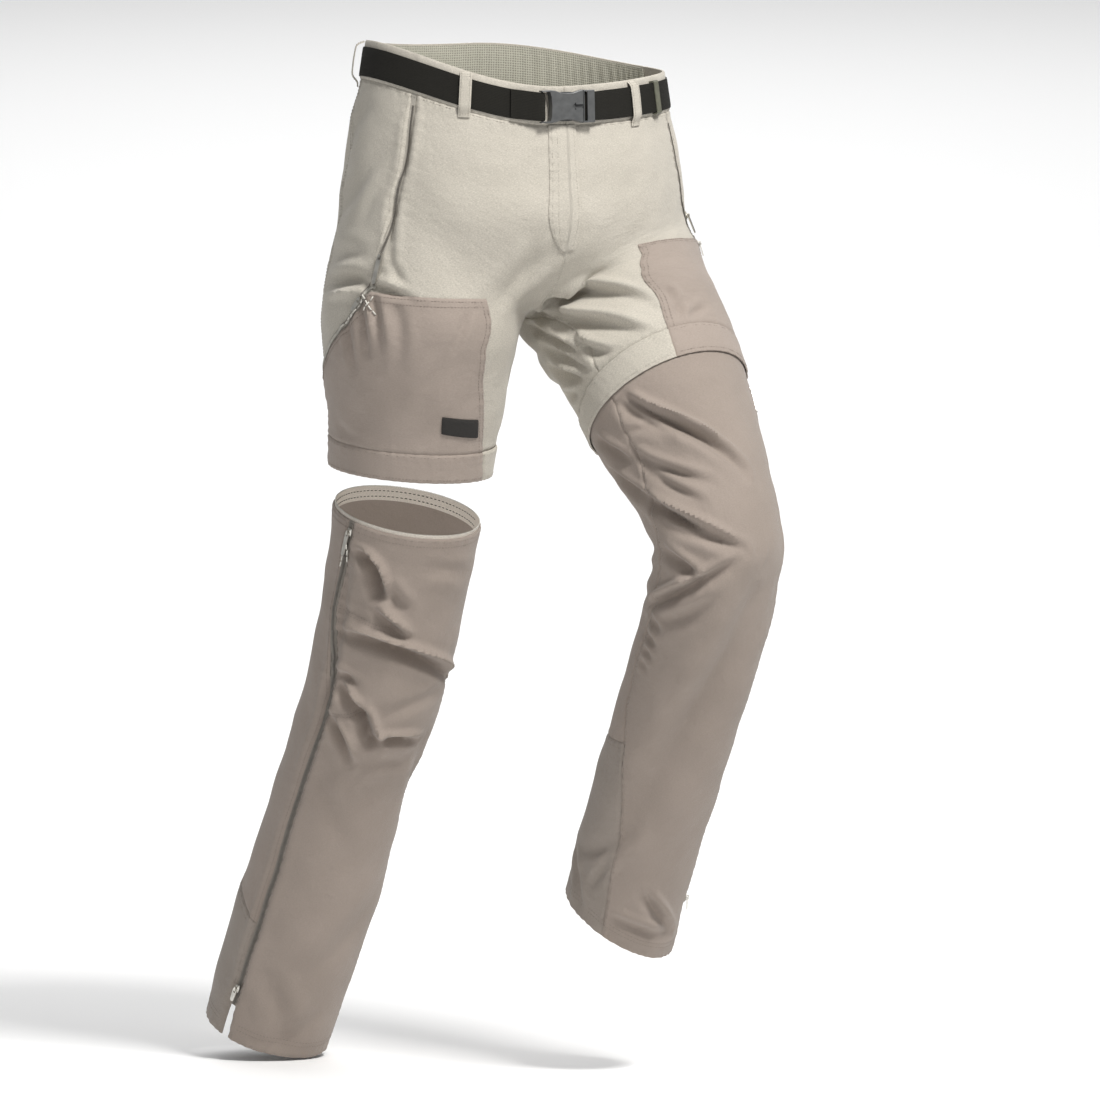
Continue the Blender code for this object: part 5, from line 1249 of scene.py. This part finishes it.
def ribbon(name, tops, lows, normals, thickness, columns, material, crown=0.0):
    """A strip from two edge lines, thinner at its edges, with its own flat map."""
    count = len(tops)
    part = np.linspace(0, 1, columns)[None, :, None]
    middle = tops[:, None] * (1 - part) + lows[:, None] * part
    edge = np.minimum(part[..., 0], 1 - part[..., 0]) * columns
    half = thickness / 2 * (0.55 + 0.45 * ease(edge / 1.2))
    bulge = crown * (1 - (2 * part[..., 0] - 1) ** 2)
    out = normals[:, None]
    outer = middle + out * (half + bulge)[..., None]
    inner = middle - out * (half - bulge)[..., None]
    vertices = np.concatenate((outer.reshape(-1, 3), inner.reshape(-1, 3)))
    faces = []
    shift = count * columns
    for i in range(count - 1):
        for j in range(columns - 1):
            a, b, c, d = i * columns + j, i * columns + j + 1, (i + 1) * columns + j + 1, (i + 1) * columns + j
            faces.append((a, b, c, d))
            faces.append((d + shift, c + shift, b + shift, a + shift))
        for j in (0, columns - 1):
            a, d = i * columns + j, (i + 1) * columns + j
            quad = (a, d, d + shift, a + shift)
            faces.append(quad if j == 0 else quad[::-1])
    for i in (0, count - 1):
        for j in range(columns - 1):
            a, b = i * columns + j, i * columns + j + 1
            quad = (a, b, b + shift, a + shift)
            faces.append(quad[::-1] if i == 0 else quad)
    run = np.concatenate(((0.0,), np.cumsum(np.linalg.norm(np.diff((tops + lows) / 2, axis=0), axis=1))))
    wide = np.linalg.norm(tops - lows, axis=1)
    flat = np.stack((np.repeat(run[:, None], columns, axis=1), wide[:, None] * part[0, :, 0][None, :]), axis=-1)
    flat = flat.reshape(-1, 2)
    thing = build_mesh(name, vertices, faces, np.concatenate((flat, flat)), material)
    bm = bmesh.new()
    bm.from_mesh(thing.data)
    bmesh.ops.recalc_face_normals(bm, faces=bm.faces)
    bm.to_mesh(thing.data)
    bm.free()
    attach(thing, "cloth")
    return thing, float(run[-1]), float(wide.mean())


def smoothed(values, rounds):
    """A row of points with its corners eased."""
    for _ in range(rounds):
        inner = values[:-2] * 0.25 + values[1:-1] * 0.5 + values[2:] * 0.25
        values = np.concatenate((values[:1], inner, values[-1:]))
    return values


def add_belt():
    """The webbing: turned back round the socket's bar, round the waist, through the ladder, to its tail."""
    middle, along, up, out = (np.array(v) for v in (BUCKLE_MIDDLE, BUCKLE_ALONG, BUCKLE_UP, BUCKLE_OUT))

    def on_body(tube, shares, height, facing):
        """Edge lines and normals of a stretch on the waistband."""
        lift = height + KEEPER_LIFT * ease(1.6 - np.abs(shares - KEEPER_SHARE) / KEEPER_REACH) * (tube == "left")
        _, normal = SURFACES[tube].sample(np.full_like(shares, (BELT_TOP + BELT_LOW) / 2), shares)
        tops = SURFACES[tube].sample(np.full_like(shares, BELT_TOP), shares)[0] + normal * lift[:, None]
        lows = SURFACES[tube].sample(np.full_like(shares, BELT_LOW), shares)[0] + normal * lift[:, None]
        return tops, lows, normal * facing

    def round_bar(turn, toward):
        """The turn round a buckle bar, from its outer face to its inner one."""
        x, height, lead = turn
        angles = np.linspace(math.pi / 2, -math.pi / 2, 13)
        away = np.cos(angles)[:, None] * along * toward + np.sin(angles)[:, None] * out
        centres = middle + along * x + out * height + away * TURN_RADIUS
        straight = along * toward * lead
        centres = np.concatenate((centres[:1] - straight, centres[:1] - straight / 2, centres,
                                  centres[-1:] - straight / 2, centres[-1:] - straight))
        away = np.concatenate((away[:1], away[:1], away, away[-1:], away[-1:]))
        return centres + up * BELT_HALF, centres - up * BELT_HALF, away

    turn = round_bar(SOCKET_TURN, 1.0)
    ladder = tuple(row[::-1] for row in round_bar(LADDER_TURN, -1.0))
    parts = (
        on_body("right", np.linspace(TURN_BACK_END + 0.02, BELT_LEAVES["right"], 3), BELT_OVER, 1.0),
        turn,
        on_body("right", np.linspace(BELT_LEAVES["right"], 1.0, 150), BELT_NEAR, -1.0),
        on_body("left", np.linspace(1.0, BELT_LEAVES["left"], 150)[1:], BELT_NEAR, -1.0),
        ladder,
        on_body("left", np.linspace(BELT_LEAVES["left"], TAIL_END, 60), BELT_OVER, 1.0),
    )
    tops, lows, normals = [np.concatenate([part[index] for part in parts]) for index in range(3)]
    dense = []
    for row in (tops, lows, normals):
        pieces = [row[:1]]
        for start, end in zip(range(len(row) - 1), range(1, len(row))):
            count = max(int(np.linalg.norm(tops[end] - tops[start]) / 0.004), 1)
            pieces.append(row[start] + (row[end] - row[start]) * (np.arange(1, count + 1) / count)[:, None])
        dense.append(np.concatenate(pieces))
    tops, lows, normals = smoothed(dense[0], 2), smoothed(dense[1], 2), unit(smoothed(dense[2], 2))
    belt, length, width = ribbon("belt_webbing", tops, lows, normals, BELT_WALL, 13, MATERIALS["webbing"])
    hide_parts("belt")
    return belt


def add_loops():
    """Belt loops of stone cloth with two sewn edges, each held by a bar of stitches above and below."""
    for name, tube, share, height in BELT_LOOPS:
        down = np.array([row[0] for row in LOOP_SHAPE])
        rise = np.array([LOOP_FOOT + row[1] * (height - LOOP_FOOT) for row in LOOP_SHAPE])
        fine = np.linspace(down[0], down[-1], 46)
        profile = smoothed(np.interp(fine, down, rise), 3)
        base, normal = SURFACES[tube].sample(fine, np.full_like(fine, share))
        out = unit(normal.mean(axis=0))
        centres = base + out * profile[:, None]
        down_way = unit(base[-1] - base[0])
        across = unit(np.cross(down_way, out))
        tangents = unit(np.gradient(centres, axis=0))
        normals = unit(np.cross(tangents, across))
        normals = normals * np.sign((normals @ out).mean())
        half = across * LOOP_WIDTH / 2
        loop, length, width = ribbon(f"belt_loop_{name}_cloth", centres - half, centres + half, normals, LOOP_WALL,
                                     9, MATERIALS["stone"], crown=0.0003)
        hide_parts(f"belt_loop_{name}")
        lift = normals * (LOOP_WALL / 2 + 0.0004)
        rows = [(tube, centres + across * side * LOOP_WIDTH * 0.36 + lift) for side in (-1, 1)]
        for place in (2, 4, 40, 42):
            bar = centres[place] + across * np.linspace(-0.42, 0.42, 24)[:, None] * LOOP_WIDTH + lift[place]
            rows.append((tube, bar))
        sew(f"belt_loop_{name}_sewing", rows, MATERIALS["stone_thread"], 0.0026, 0.0021)


def quad_patch(tube, corners, cell=0.002):
    """A small piece between four corners, each down and share."""
    corners = np.array(corners)
    t = np.linspace(0, 1, 14)[:, None, None]
    s = np.linspace(0, 1, 22)[None, :, None]
    places = ((corners[0] * (1 - s) + corners[1] * s) * (1 - t) + (corners[3] * (1 - s) + corners[2] * s) * t)
    patch = Patch.__new__(Patch)
    patch.tube = tube
    patch.down = places[..., 0]
    patch.share = places[..., 1]
    patch.points = on_cloth(tube, patch.down, patch.share)
    patch.normals = SURFACES[tube].sample(patch.down, patch.share)[1]
    return patch


def add_uppers():
    """The short trousers: panels, pockets, zips and hem bands."""
    for name, at in UPPER.items():
        cut = {
            "front": Patch(name, at["waist_seam"], at["band_seam"], at["centre"], at["zip_front"]),
            "side": Patch(name, at["waist_seam"], at["band_seam"], at["zip_back"], at["outseam"]),
            "back": Patch(name, at["waist_seam"], at["band_seam"], at["outseam"], at["back"]),
        }
        for part, patch in cut.items():
            cloth_piece(f"{part}_{name}_cloth", f"{part}_{name}", patch, -WALL, 0.0, MATERIALS["stone"],
                        "stone_cloth")
        tape = Patch(name, at["waist_seam"], at["pocket_top"], at["zip_front"],
                     lambda down, edge=at["zip_front"]: edge(down) + ZIP_SHARE)
        # The hand zip tape's darkened stone colour holds painted shade.
        cloth_piece(f"hand_zip_{name}_tape", f"hand_zip_tape_{name}", tape, -WALL, -0.0002, MATERIALS["shaded_stone_tape"],
                    "zip_tape", seams="", puckers="")
        pocket = Patch(name, at["pocket_top"], at["band_seam"], at["pocket_inner"], at["outseam"])
        cloth_piece(f"thigh_pocket_{name}_cloth", f"thigh_pocket_{name}", pocket, LAYER_GAP, POCKET_OUTER,
                    MATERIALS["pocket"], "taupe_cloth", rests_on=(f"front_{name}_cloth", f"side_{name}_cloth"))
        tape = Patch(name, at["above_pocket"], at["pocket_top"], at["zip_back"], at["outseam"])
        cloth_piece(f"thigh_zip_{name}_tape", f"thigh_zip_tape_{name}", tape, LAYER_GAP, TAPE_OUTER,
                    MATERIALS["tape"], "zip_tape", rests_on=(f"side_{name}_cloth",), seams="", puckers="")
        inner = at["pocket_inner"]
        light = Patch(name, at["band_seam"], at["hem"], at["outseam"], lambda down, line=inner: 1 + line(down))
        taupe = Patch(name, at["band_seam"], at["hem"], inner, at["outseam"])
        for label, patch, node, cloth, slot in (
                ("stone", light, f"hem_band_{name}", MATERIALS["stone"], "stone_cloth"),
                ("taupe", taupe, f"hem_band_pocket_{name}", MATERIALS["pocket"], "taupe_cloth")):
            stand_off = 0.0004 + 0.0012 * np.linspace(0, 1, patch.points.shape[0])[:, None]
            cloth_piece(f"hem_band_{label}_{name}", node, patch, stand_off, stand_off + 0.0016, cloth, slot,
                        rests_on=(f"leg_zip_upper_{name}_tape",), seams="tlr", hems="b")
        ring = Patch(name, at["band_seam"], at["zip_low"], at["centre"], at["back"])
        cloth_piece(f"leg_zip_upper_{name}_tape", f"leg_zip_upper_{name}", ring, -WALL, -0.0002, MATERIALS["tape"],
                    "zip_tape", seams="", puckers="", closed=True)


def add_lowers():
    """The lower legs: front, back, calf and the side zip's tape."""
    for name, at in LOWER.items():
        front = Patch(name, at["edge"], at["hem"], at["inseam"], at["zip_front"])
        cloth_piece(f"leg_front_{name}_cloth", f"leg_front_{name}", front, -WALL, 0.0, MATERIALS["taupe"],
                    "taupe_cloth", seams="tlr", hems="b")
        back = Patch(name, at["edge"], at["calf"], at["zip_back"], at["inseam_end"])
        cloth_piece(f"leg_back_{name}_cloth", f"leg_back_{name}", back, -WALL, 0.0, MATERIALS["taupe"],
                    "taupe_cloth")
        calf = Patch(name, at["calf"], at["hem"], at["zip_back"], at["inseam_end"])
        cloth_piece(f"calf_{name}_cloth", f"calf_{name}", calf, -WALL, 0.0, MATERIALS["calf"], "calf_cloth",
                    seams="tlr", hems="b")
        tape = Patch(name, at["edge"], at["slit"], at["zip_front"], at["zip_back"])
        cloth_piece(f"side_zip_{name}_tape", f"side_zip_tape_{name}", tape, -WALL, -0.0003, MATERIALS["tape"],
                    "zip_tape", seams="", puckers="")
    at = LOWER["loose"]
    ring = Patch("loose", at["tape_top"], at["tape_low"], at["inseam"], at["inseam_end"])
    # The inside tape takes the pale colour with painted light, so the leg's inside looks lit.
    cloth_piece("leg_zip_lower_loose_tape", "leg_zip_lower_loose", ring, -WALL - 0.0013, -WALL - LAYER_GAP,
                MATERIALS["painted_light_tape"], "zip_tape", seams="", puckers="", closed=True)


def top_puckers(patch, distances):
    """Pinch folds along the waistband's upper edge, deepest near the buckle."""
    across = patch.share * 0.50
    free = np.exp(-(patch.down / 0.0045) ** 2)
    near = 0.35 + 0.65 * np.exp(-((across - 0.020) / 0.050) ** 2)
    wave = np.sin(across * 620 + 2.2 * np.sin(across * 95)) * 0.6 + np.sin(across * 347 + 1.0) * 0.4
    return 0.0011 * free * near * wave


def add_waist():
    """Waistband, its mesh facing inside the back, and the fly."""
    for name, at in UPPER.items():
        patch = Patch(name, at["waist_top"], at["waist_seam"], at["centre"], at["outseam"], cell=0.0022)
        cloth_piece(f"waistband_front_{name}_cloth", f"waistband_front_{name}", patch, -WALL, WAISTBAND_OUTER,
                    MATERIALS["stone"], "stone_cloth", seams="blr", hems="t", extra=top_puckers, puckers="b")
    halves = [Patch(name, at["waist_top"], at["waist_seam"], at["outseam"], at["back"]) for name, at in UPPER.items()]
    back = halves[0].joined(halves[1].mirrored())
    cloth_piece("waistband_back_cloth", "waistband_back", back, -WALL, WAISTBAND_OUTER, MATERIALS["stone"],
                "stone_cloth", seams="blr", hems="t", puckers="b")
    inner = [Patch(name, level(0.0016), at["waist_seam"], at["outseam"], at["back"]) for name, at in UPPER.items()]
    facing = inner[0].joined(inner[1].mirrored())
    gather = np.sin(facing.share * 290 + 2 * np.sin(facing.share * 41)) * 0.5 + 0.5
    drape = 0.0009 * gather * ease(facing.down / 0.012)
    cloth_piece("waist_facing_mesh", "waist_facing", facing, -0.0027 - drape, -0.0018 - drape, MATERIALS["mesh"],
                "mesh_cloth", rests_on=("waistband_back_cloth",), seams="", puckers="")

    def fly_line(name):
        """The fly's free edge, curved in at its foot on the right."""
        wide = FLY_EDGE[name]
        if name == "left":
            return level(wide)
        return lambda down: wide * np.sqrt(np.clip(1 - (np.clip(down - 0.152, 0, None) / 0.0345) ** 2, 0.02, 1))

    sides = [Patch(name, level(WAIST_SEAM), level(0.1863), at["centre"], fly_line(name))
             for name, at in (("right", UPPER["right"]), ("left", UPPER["left"]))]
    fly = sides[0].mirrored().joined(sides[1])
    cloth_piece("fly_cloth", "fly", fly, LAYER_GAP, 0.0013, MATERIALS["stone"], "stone_cloth",
                rests_on=("front_right_cloth", "front_left_cloth"), seams="b", hems="l", puckers="lb")


def add_label():
    """A bare dark patch sewn on the right thigh pocket."""
    patch = quad_patch("right", LABEL_CORNERS)
    cloth_piece("patch_cloth", "label", patch, POCKET_OUTER + 0.0002, POCKET_OUTER + 0.0009, MATERIALS["label"],
                "label_cloth", rests_on=("thigh_pocket_right_cloth",), seams="", hems="tblr", puckers="")
    (d0, s0), (d1, s1), (d2, s2), (d3, s3) = LABEL_CORNERS
    corners = np.array(LABEL_CORNERS)
    middle = corners.mean(axis=0)
    inset = middle + (corners - middle) * np.array((0.86, 0.93))
    ring = np.concatenate((inset, inset[:1]))
    path = np.concatenate([a + (b - a) * np.linspace(0, 1, 20)[:, None] for a, b in zip(ring[:-1], ring[1:])])
    run = on_cloth("right", path[:, 0], path[:, 1], POCKET_OUTER + 0.0012)
    sew("patch_sewing", [("right", run)], MATERIALS["dark_thread"], 0.0028, 0.0022, 0.0002)


def add_sewing():
    """Rows of stitches beside the seams, and the zips' teeth."""
    stone = []
    taupe = []
    for name, at in UPPER.items():
        top = WAIST_SEAM + 0.003
        low = SHORT_HEM[name][0] - BAND - 0.003
        stone.append((name, around(name, level(WAIST_SEAM), 0.02, 0.98, 0.0030, 0.0003, 420)))
        for beside in (0.0030, 0.0085):
            stone.append((name, downward(name, level(OUTSEAM), top, POCKET_ROW[name][-2][1] - 0.004, beside, 0.0003)))
            stone.append((name, downward(name, level(OUTSEAM), POCKET_ROW[name][-2][1], low, beside, 0.0003)))
        for beside in (-0.0035,):
            stone.append((name, downward(name, at["zip_front"], top, POCKET_TOP[name] - 0.004, beside, 0.0003)))
        stone.append((name, downward(name, at["zip_back"], top, POCKET_TOP[name] - 0.010, 0.0035, 0.0003)))
        for below in (0.0028, 0.0075):
            taupe.append((name, around(name, at["pocket_top"], POCKET_EDGE[name][1][1] + 0.010, OUTSEAM - 0.008,
                                       below, POCKET_OUTER + 0.0003)))
            taupe.append((name, downward(name, at["pocket_inner"], POCKET_TOP[name] + 0.006, low, below,
                                         POCKET_OUTER + 0.0003)))
        stone.append((name, around(name, at["band_seam"], OUTSEAM + 0.01, 1.0 + POCKET_EDGE[name][-1][1] - 0.01,
                                   0.0030, 0.0024, 420)))
        taupe.append((name, around(name, at["band_seam"], POCKET_EDGE[name][-1][1] + 0.01, OUTSEAM - 0.01, 0.0030,
                                   0.0024, 260)))
        for below in (-0.0035,):
            stone.append((name, around(name, at["hem"], OUTSEAM + 0.01, 1.0 + POCKET_EDGE[name][-1][1] - 0.01,
                                       below, 0.0034, 420)))
            taupe.append((name, around(name, at["hem"], POCKET_EDGE[name][-1][1] + 0.01, OUTSEAM - 0.01, below,
                                       0.0034, 260)))
    for beside in (0.0030, 0.0085):
        edge = 0.036 - beside / 0.50
        down = np.linspace(WAIST_SEAM + 0.002, 0.1858, 200)
        share = edge * np.sqrt(np.clip(1 - (np.clip(down - 0.152, 0, None) / 0.0340) ** 2, 0, 1))
        stone.append(("right", on_cloth("right", down, share, 0.0016)))
    for beside in (-0.0030,):
        stone.append(("left", downward("left", level(0.022), WAIST_SEAM + 0.002, 0.183, beside, 0.0016)))
    stone.append(("left", downward("left", level(0.0), 0.19, 0.250, 0.0025, 0.0003)))
    for name, at in UPPER.items():
        stone.append((name, downward(name, at["centre"], 0.262, SHORT_HEM[name][0] - BAND - 0.004, 0.0028, 0.0003)))
    for name, at in LOWER.items():
        hem = LONG_HEM[name][0]
        start = SHORT_HEM["left"][0] + 0.006 if name == "left" else LEG_TOP + 0.003
        taupe.append((name, downward(name, at["zip_front"], start, hem - 0.040, -0.0030, 0.0003, 420)))
        taupe.append((name, downward(name, at["zip_back"], start, hem - 0.040, 0.0030, 0.0003, 420)))
        taupe.append((name, downward(name, at["inseam"], start, hem - 0.004, 0.0030, 0.0003, 420)))
        for below in (0.0025, 0.0070):
            taupe.append((name, around(name, at["calf"], 0.42, 0.99, below, 0.0003, 220)))
        for below in (-0.0180, -0.0135):
            taupe.append((name, around(name, at["hem"], 0.01, 0.355, below, 0.0003, 200)))
            taupe.append((name, around(name, at["hem"], 0.41, 0.99, below, 0.0003, 260)))
    at = LOWER["loose"]
    for below in (0.0030, 0.0085):
        taupe.append(("loose", around("loose", at["edge"], 0.01, 0.99, below, 0.0003, 420)))
    sew("stone_cloth_sewing", stone, MATERIALS["stone_thread"])
    sew("taupe_cloth_sewing", taupe, MATERIALS["taupe_thread"])
    inside = [("loose", around("loose", at["edge"], 0.45, 1.0, below, -0.0031, 300)) for below in (0.0020, 0.0080)]
    sew("inner_edge_sewing", inside, MATERIALS["dark_thread"], 0.0046, 0.0030, 0.0004)
    darts = []
    for down, share in KNEE_DARTS:
        for below in (-0.0016, 0.0016):
            darts.append(("loose", on_cloth("loose", np.linspace(*down, 60) + below, np.linspace(*share, 60), 0.0003)))
    sew("knee_dart_sewing", darts, MATERIALS["taupe_thread"])
    for body, cords in CORDS.items():
        paths = [(tube, on_cloth(tube, np.linspace(*down, 12), np.linspace(*share, 12), height))
                 for tube, down, share, height in cords]
        sew(f"{body}_cord", paths, MATERIALS["cord"], CORD_LENGTH, CORD_LENGTH * 0.97, CORD_RADIUS, body)

    bright = []
    for name, at in UPPER.items():
        start = at["zip_middle"](np.array(0.2))
        share = np.linspace(float(start) + 0.02, OUTSEAM - 0.01, 160)
        bright.append((name, on_cloth(name, at["pocket_top"](share) - ZIP_TAPE_WIDTH / 2, share, TAPE_OUTER + 0.0002)))
    teeth("thigh_zip_teeth", bright, MATERIALS["teeth"])
    hand = [(name, downward(name, at["zip_middle"], WAIST_SEAM + 0.012, POCKET_TOP[name] - 0.006, 0.0, 0.0001, 300))
            for name, at in UPPER.items()]
    teeth("hand_zip_teeth", hand, MATERIALS["dark_teeth"])
    side = [(name, downward(name, at["zip_middle"], (LEG_TOP if name == "loose" else 0.404), LONG_HEM[name][0] - 0.036,
                            0.0, 0.0001, 700)) for name, at in LOWER.items()]
    teeth("side_zip_teeth", side, MATERIALS["dark_teeth"])
    top = [("loose", around("loose", LOWER["loose"]["tape_top"], 0.0, 1.0, 0.0008, -0.0022, 500))]
    teeth("leg_zip_lower_teeth", top, MATERIALS["teeth"], one_sided=True)
    low = [(name, around(name, at["zip_low"], 0.0, 1.0, -0.0008, -0.0008, 500)) for name, at in UPPER.items()]
    teeth("leg_zip_upper_teeth", low, MATERIALS["teeth"], one_sided=True)


def dress_hardware():
    """Better surfaces on the pieces that keep their own shape."""
    for node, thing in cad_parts.items():
        if node.startswith("buckle"):
            thing.material_slots[0].material = MATERIALS["buckle"]
        elif node == "belt_keeper":
            thing.material_slots[0].material = MATERIALS["keeper"]
        elif node.startswith(("slider", "pull")):
            thing.material_slots[0].material = MATERIALS["metal"]


def add_light(name, place, target, energy, size, colour):
    """A soft square light facing a point."""
    data = bpy.data.lights.new(name, "AREA")
    data.energy = energy
    data.size = size
    data.color = colour
    lamp = bpy.data.objects.new(name, data)
    lamp.location = place
    aim = Vector(target) - Vector(place)
    lamp.rotation_euler = aim.to_track_quat("-Z", "Y").to_euler()
    bpy.context.scene.collection.objects.link(lamp)


def add_studio():
    """Pale floor, soft lights and a white surround."""
    mesh = bpy.data.meshes.new("studio_floor")
    size = 16.0
    floor_z = cad_box[0][2] - 0.002
    mesh.from_pydata([(-size, -size, floor_z), (size, -size, floor_z), (size, size, floor_z), (-size, size, floor_z)],
                     [], [(0, 1, 2, 3)])
    material, tree, shader = new_material("studio_floor", 0.9)
    shader.inputs["Base Color"].default_value = (0.93, 0.93, 0.93, 1.0)
    mesh.materials.append(material)
    floor = bpy.data.objects.new("studio_floor", mesh)
    bpy.context.scene.collection.objects.link(floor)
    world = bpy.data.worlds.new("studio")
    world.use_nodes = True
    world.node_tree.nodes["Background"].inputs["Color"].default_value = (1.0, 1.0, 1.0, 1.0)
    world.node_tree.nodes["Background"].inputs["Strength"].default_value = WORLD_LIGHT
    bpy.context.scene.world = world
    bpy.context.scene.view_settings.view_transform = "Standard"
    for row in LIGHTS:
        add_light(*row)


def add_camera():
    """The photograph's view: far off, a little above, from the wearer's right of front."""
    right, up, back = (Vector(v).normalized() for v in (CAMERA_RIGHT, CAMERA_UP, CAMERA_BACK))
    across = (PHOTO_SIZE / 2 - ORIGIN_PIXEL[0]) * METRES_PER_PIXEL
    rise = (ORIGIN_PIXEL[1] - PHOTO_SIZE / 2) * METRES_PER_PIXEL
    data = bpy.data.cameras.new("camera")
    data.sensor_width = SENSOR * 1000
    data.lens = SENSOR * 1000 * CAMERA_DISTANCE / (PHOTO_SIZE * METRES_PER_PIXEL)
    data.clip_end = 100.0
    camera = bpy.data.objects.new("camera", data)
    camera.matrix_world = Matrix((
        (right.x, up.x, back.x, 0.0), (right.y, up.y, back.y, 0.0), (right.z, up.z, back.z, 0.0), (0.0, 0.0, 0.0, 1.0),
    ))
    camera.location = right * across + up * rise + back * CAMERA_DISTANCE
    bpy.context.scene.collection.objects.link(camera)
    bpy.context.scene.camera = camera


add_camera()
add_uppers()
add_lowers()
add_waist()
add_belt()
add_loops()
add_label()
add_sewing()
dress_hardware()
add_studio()
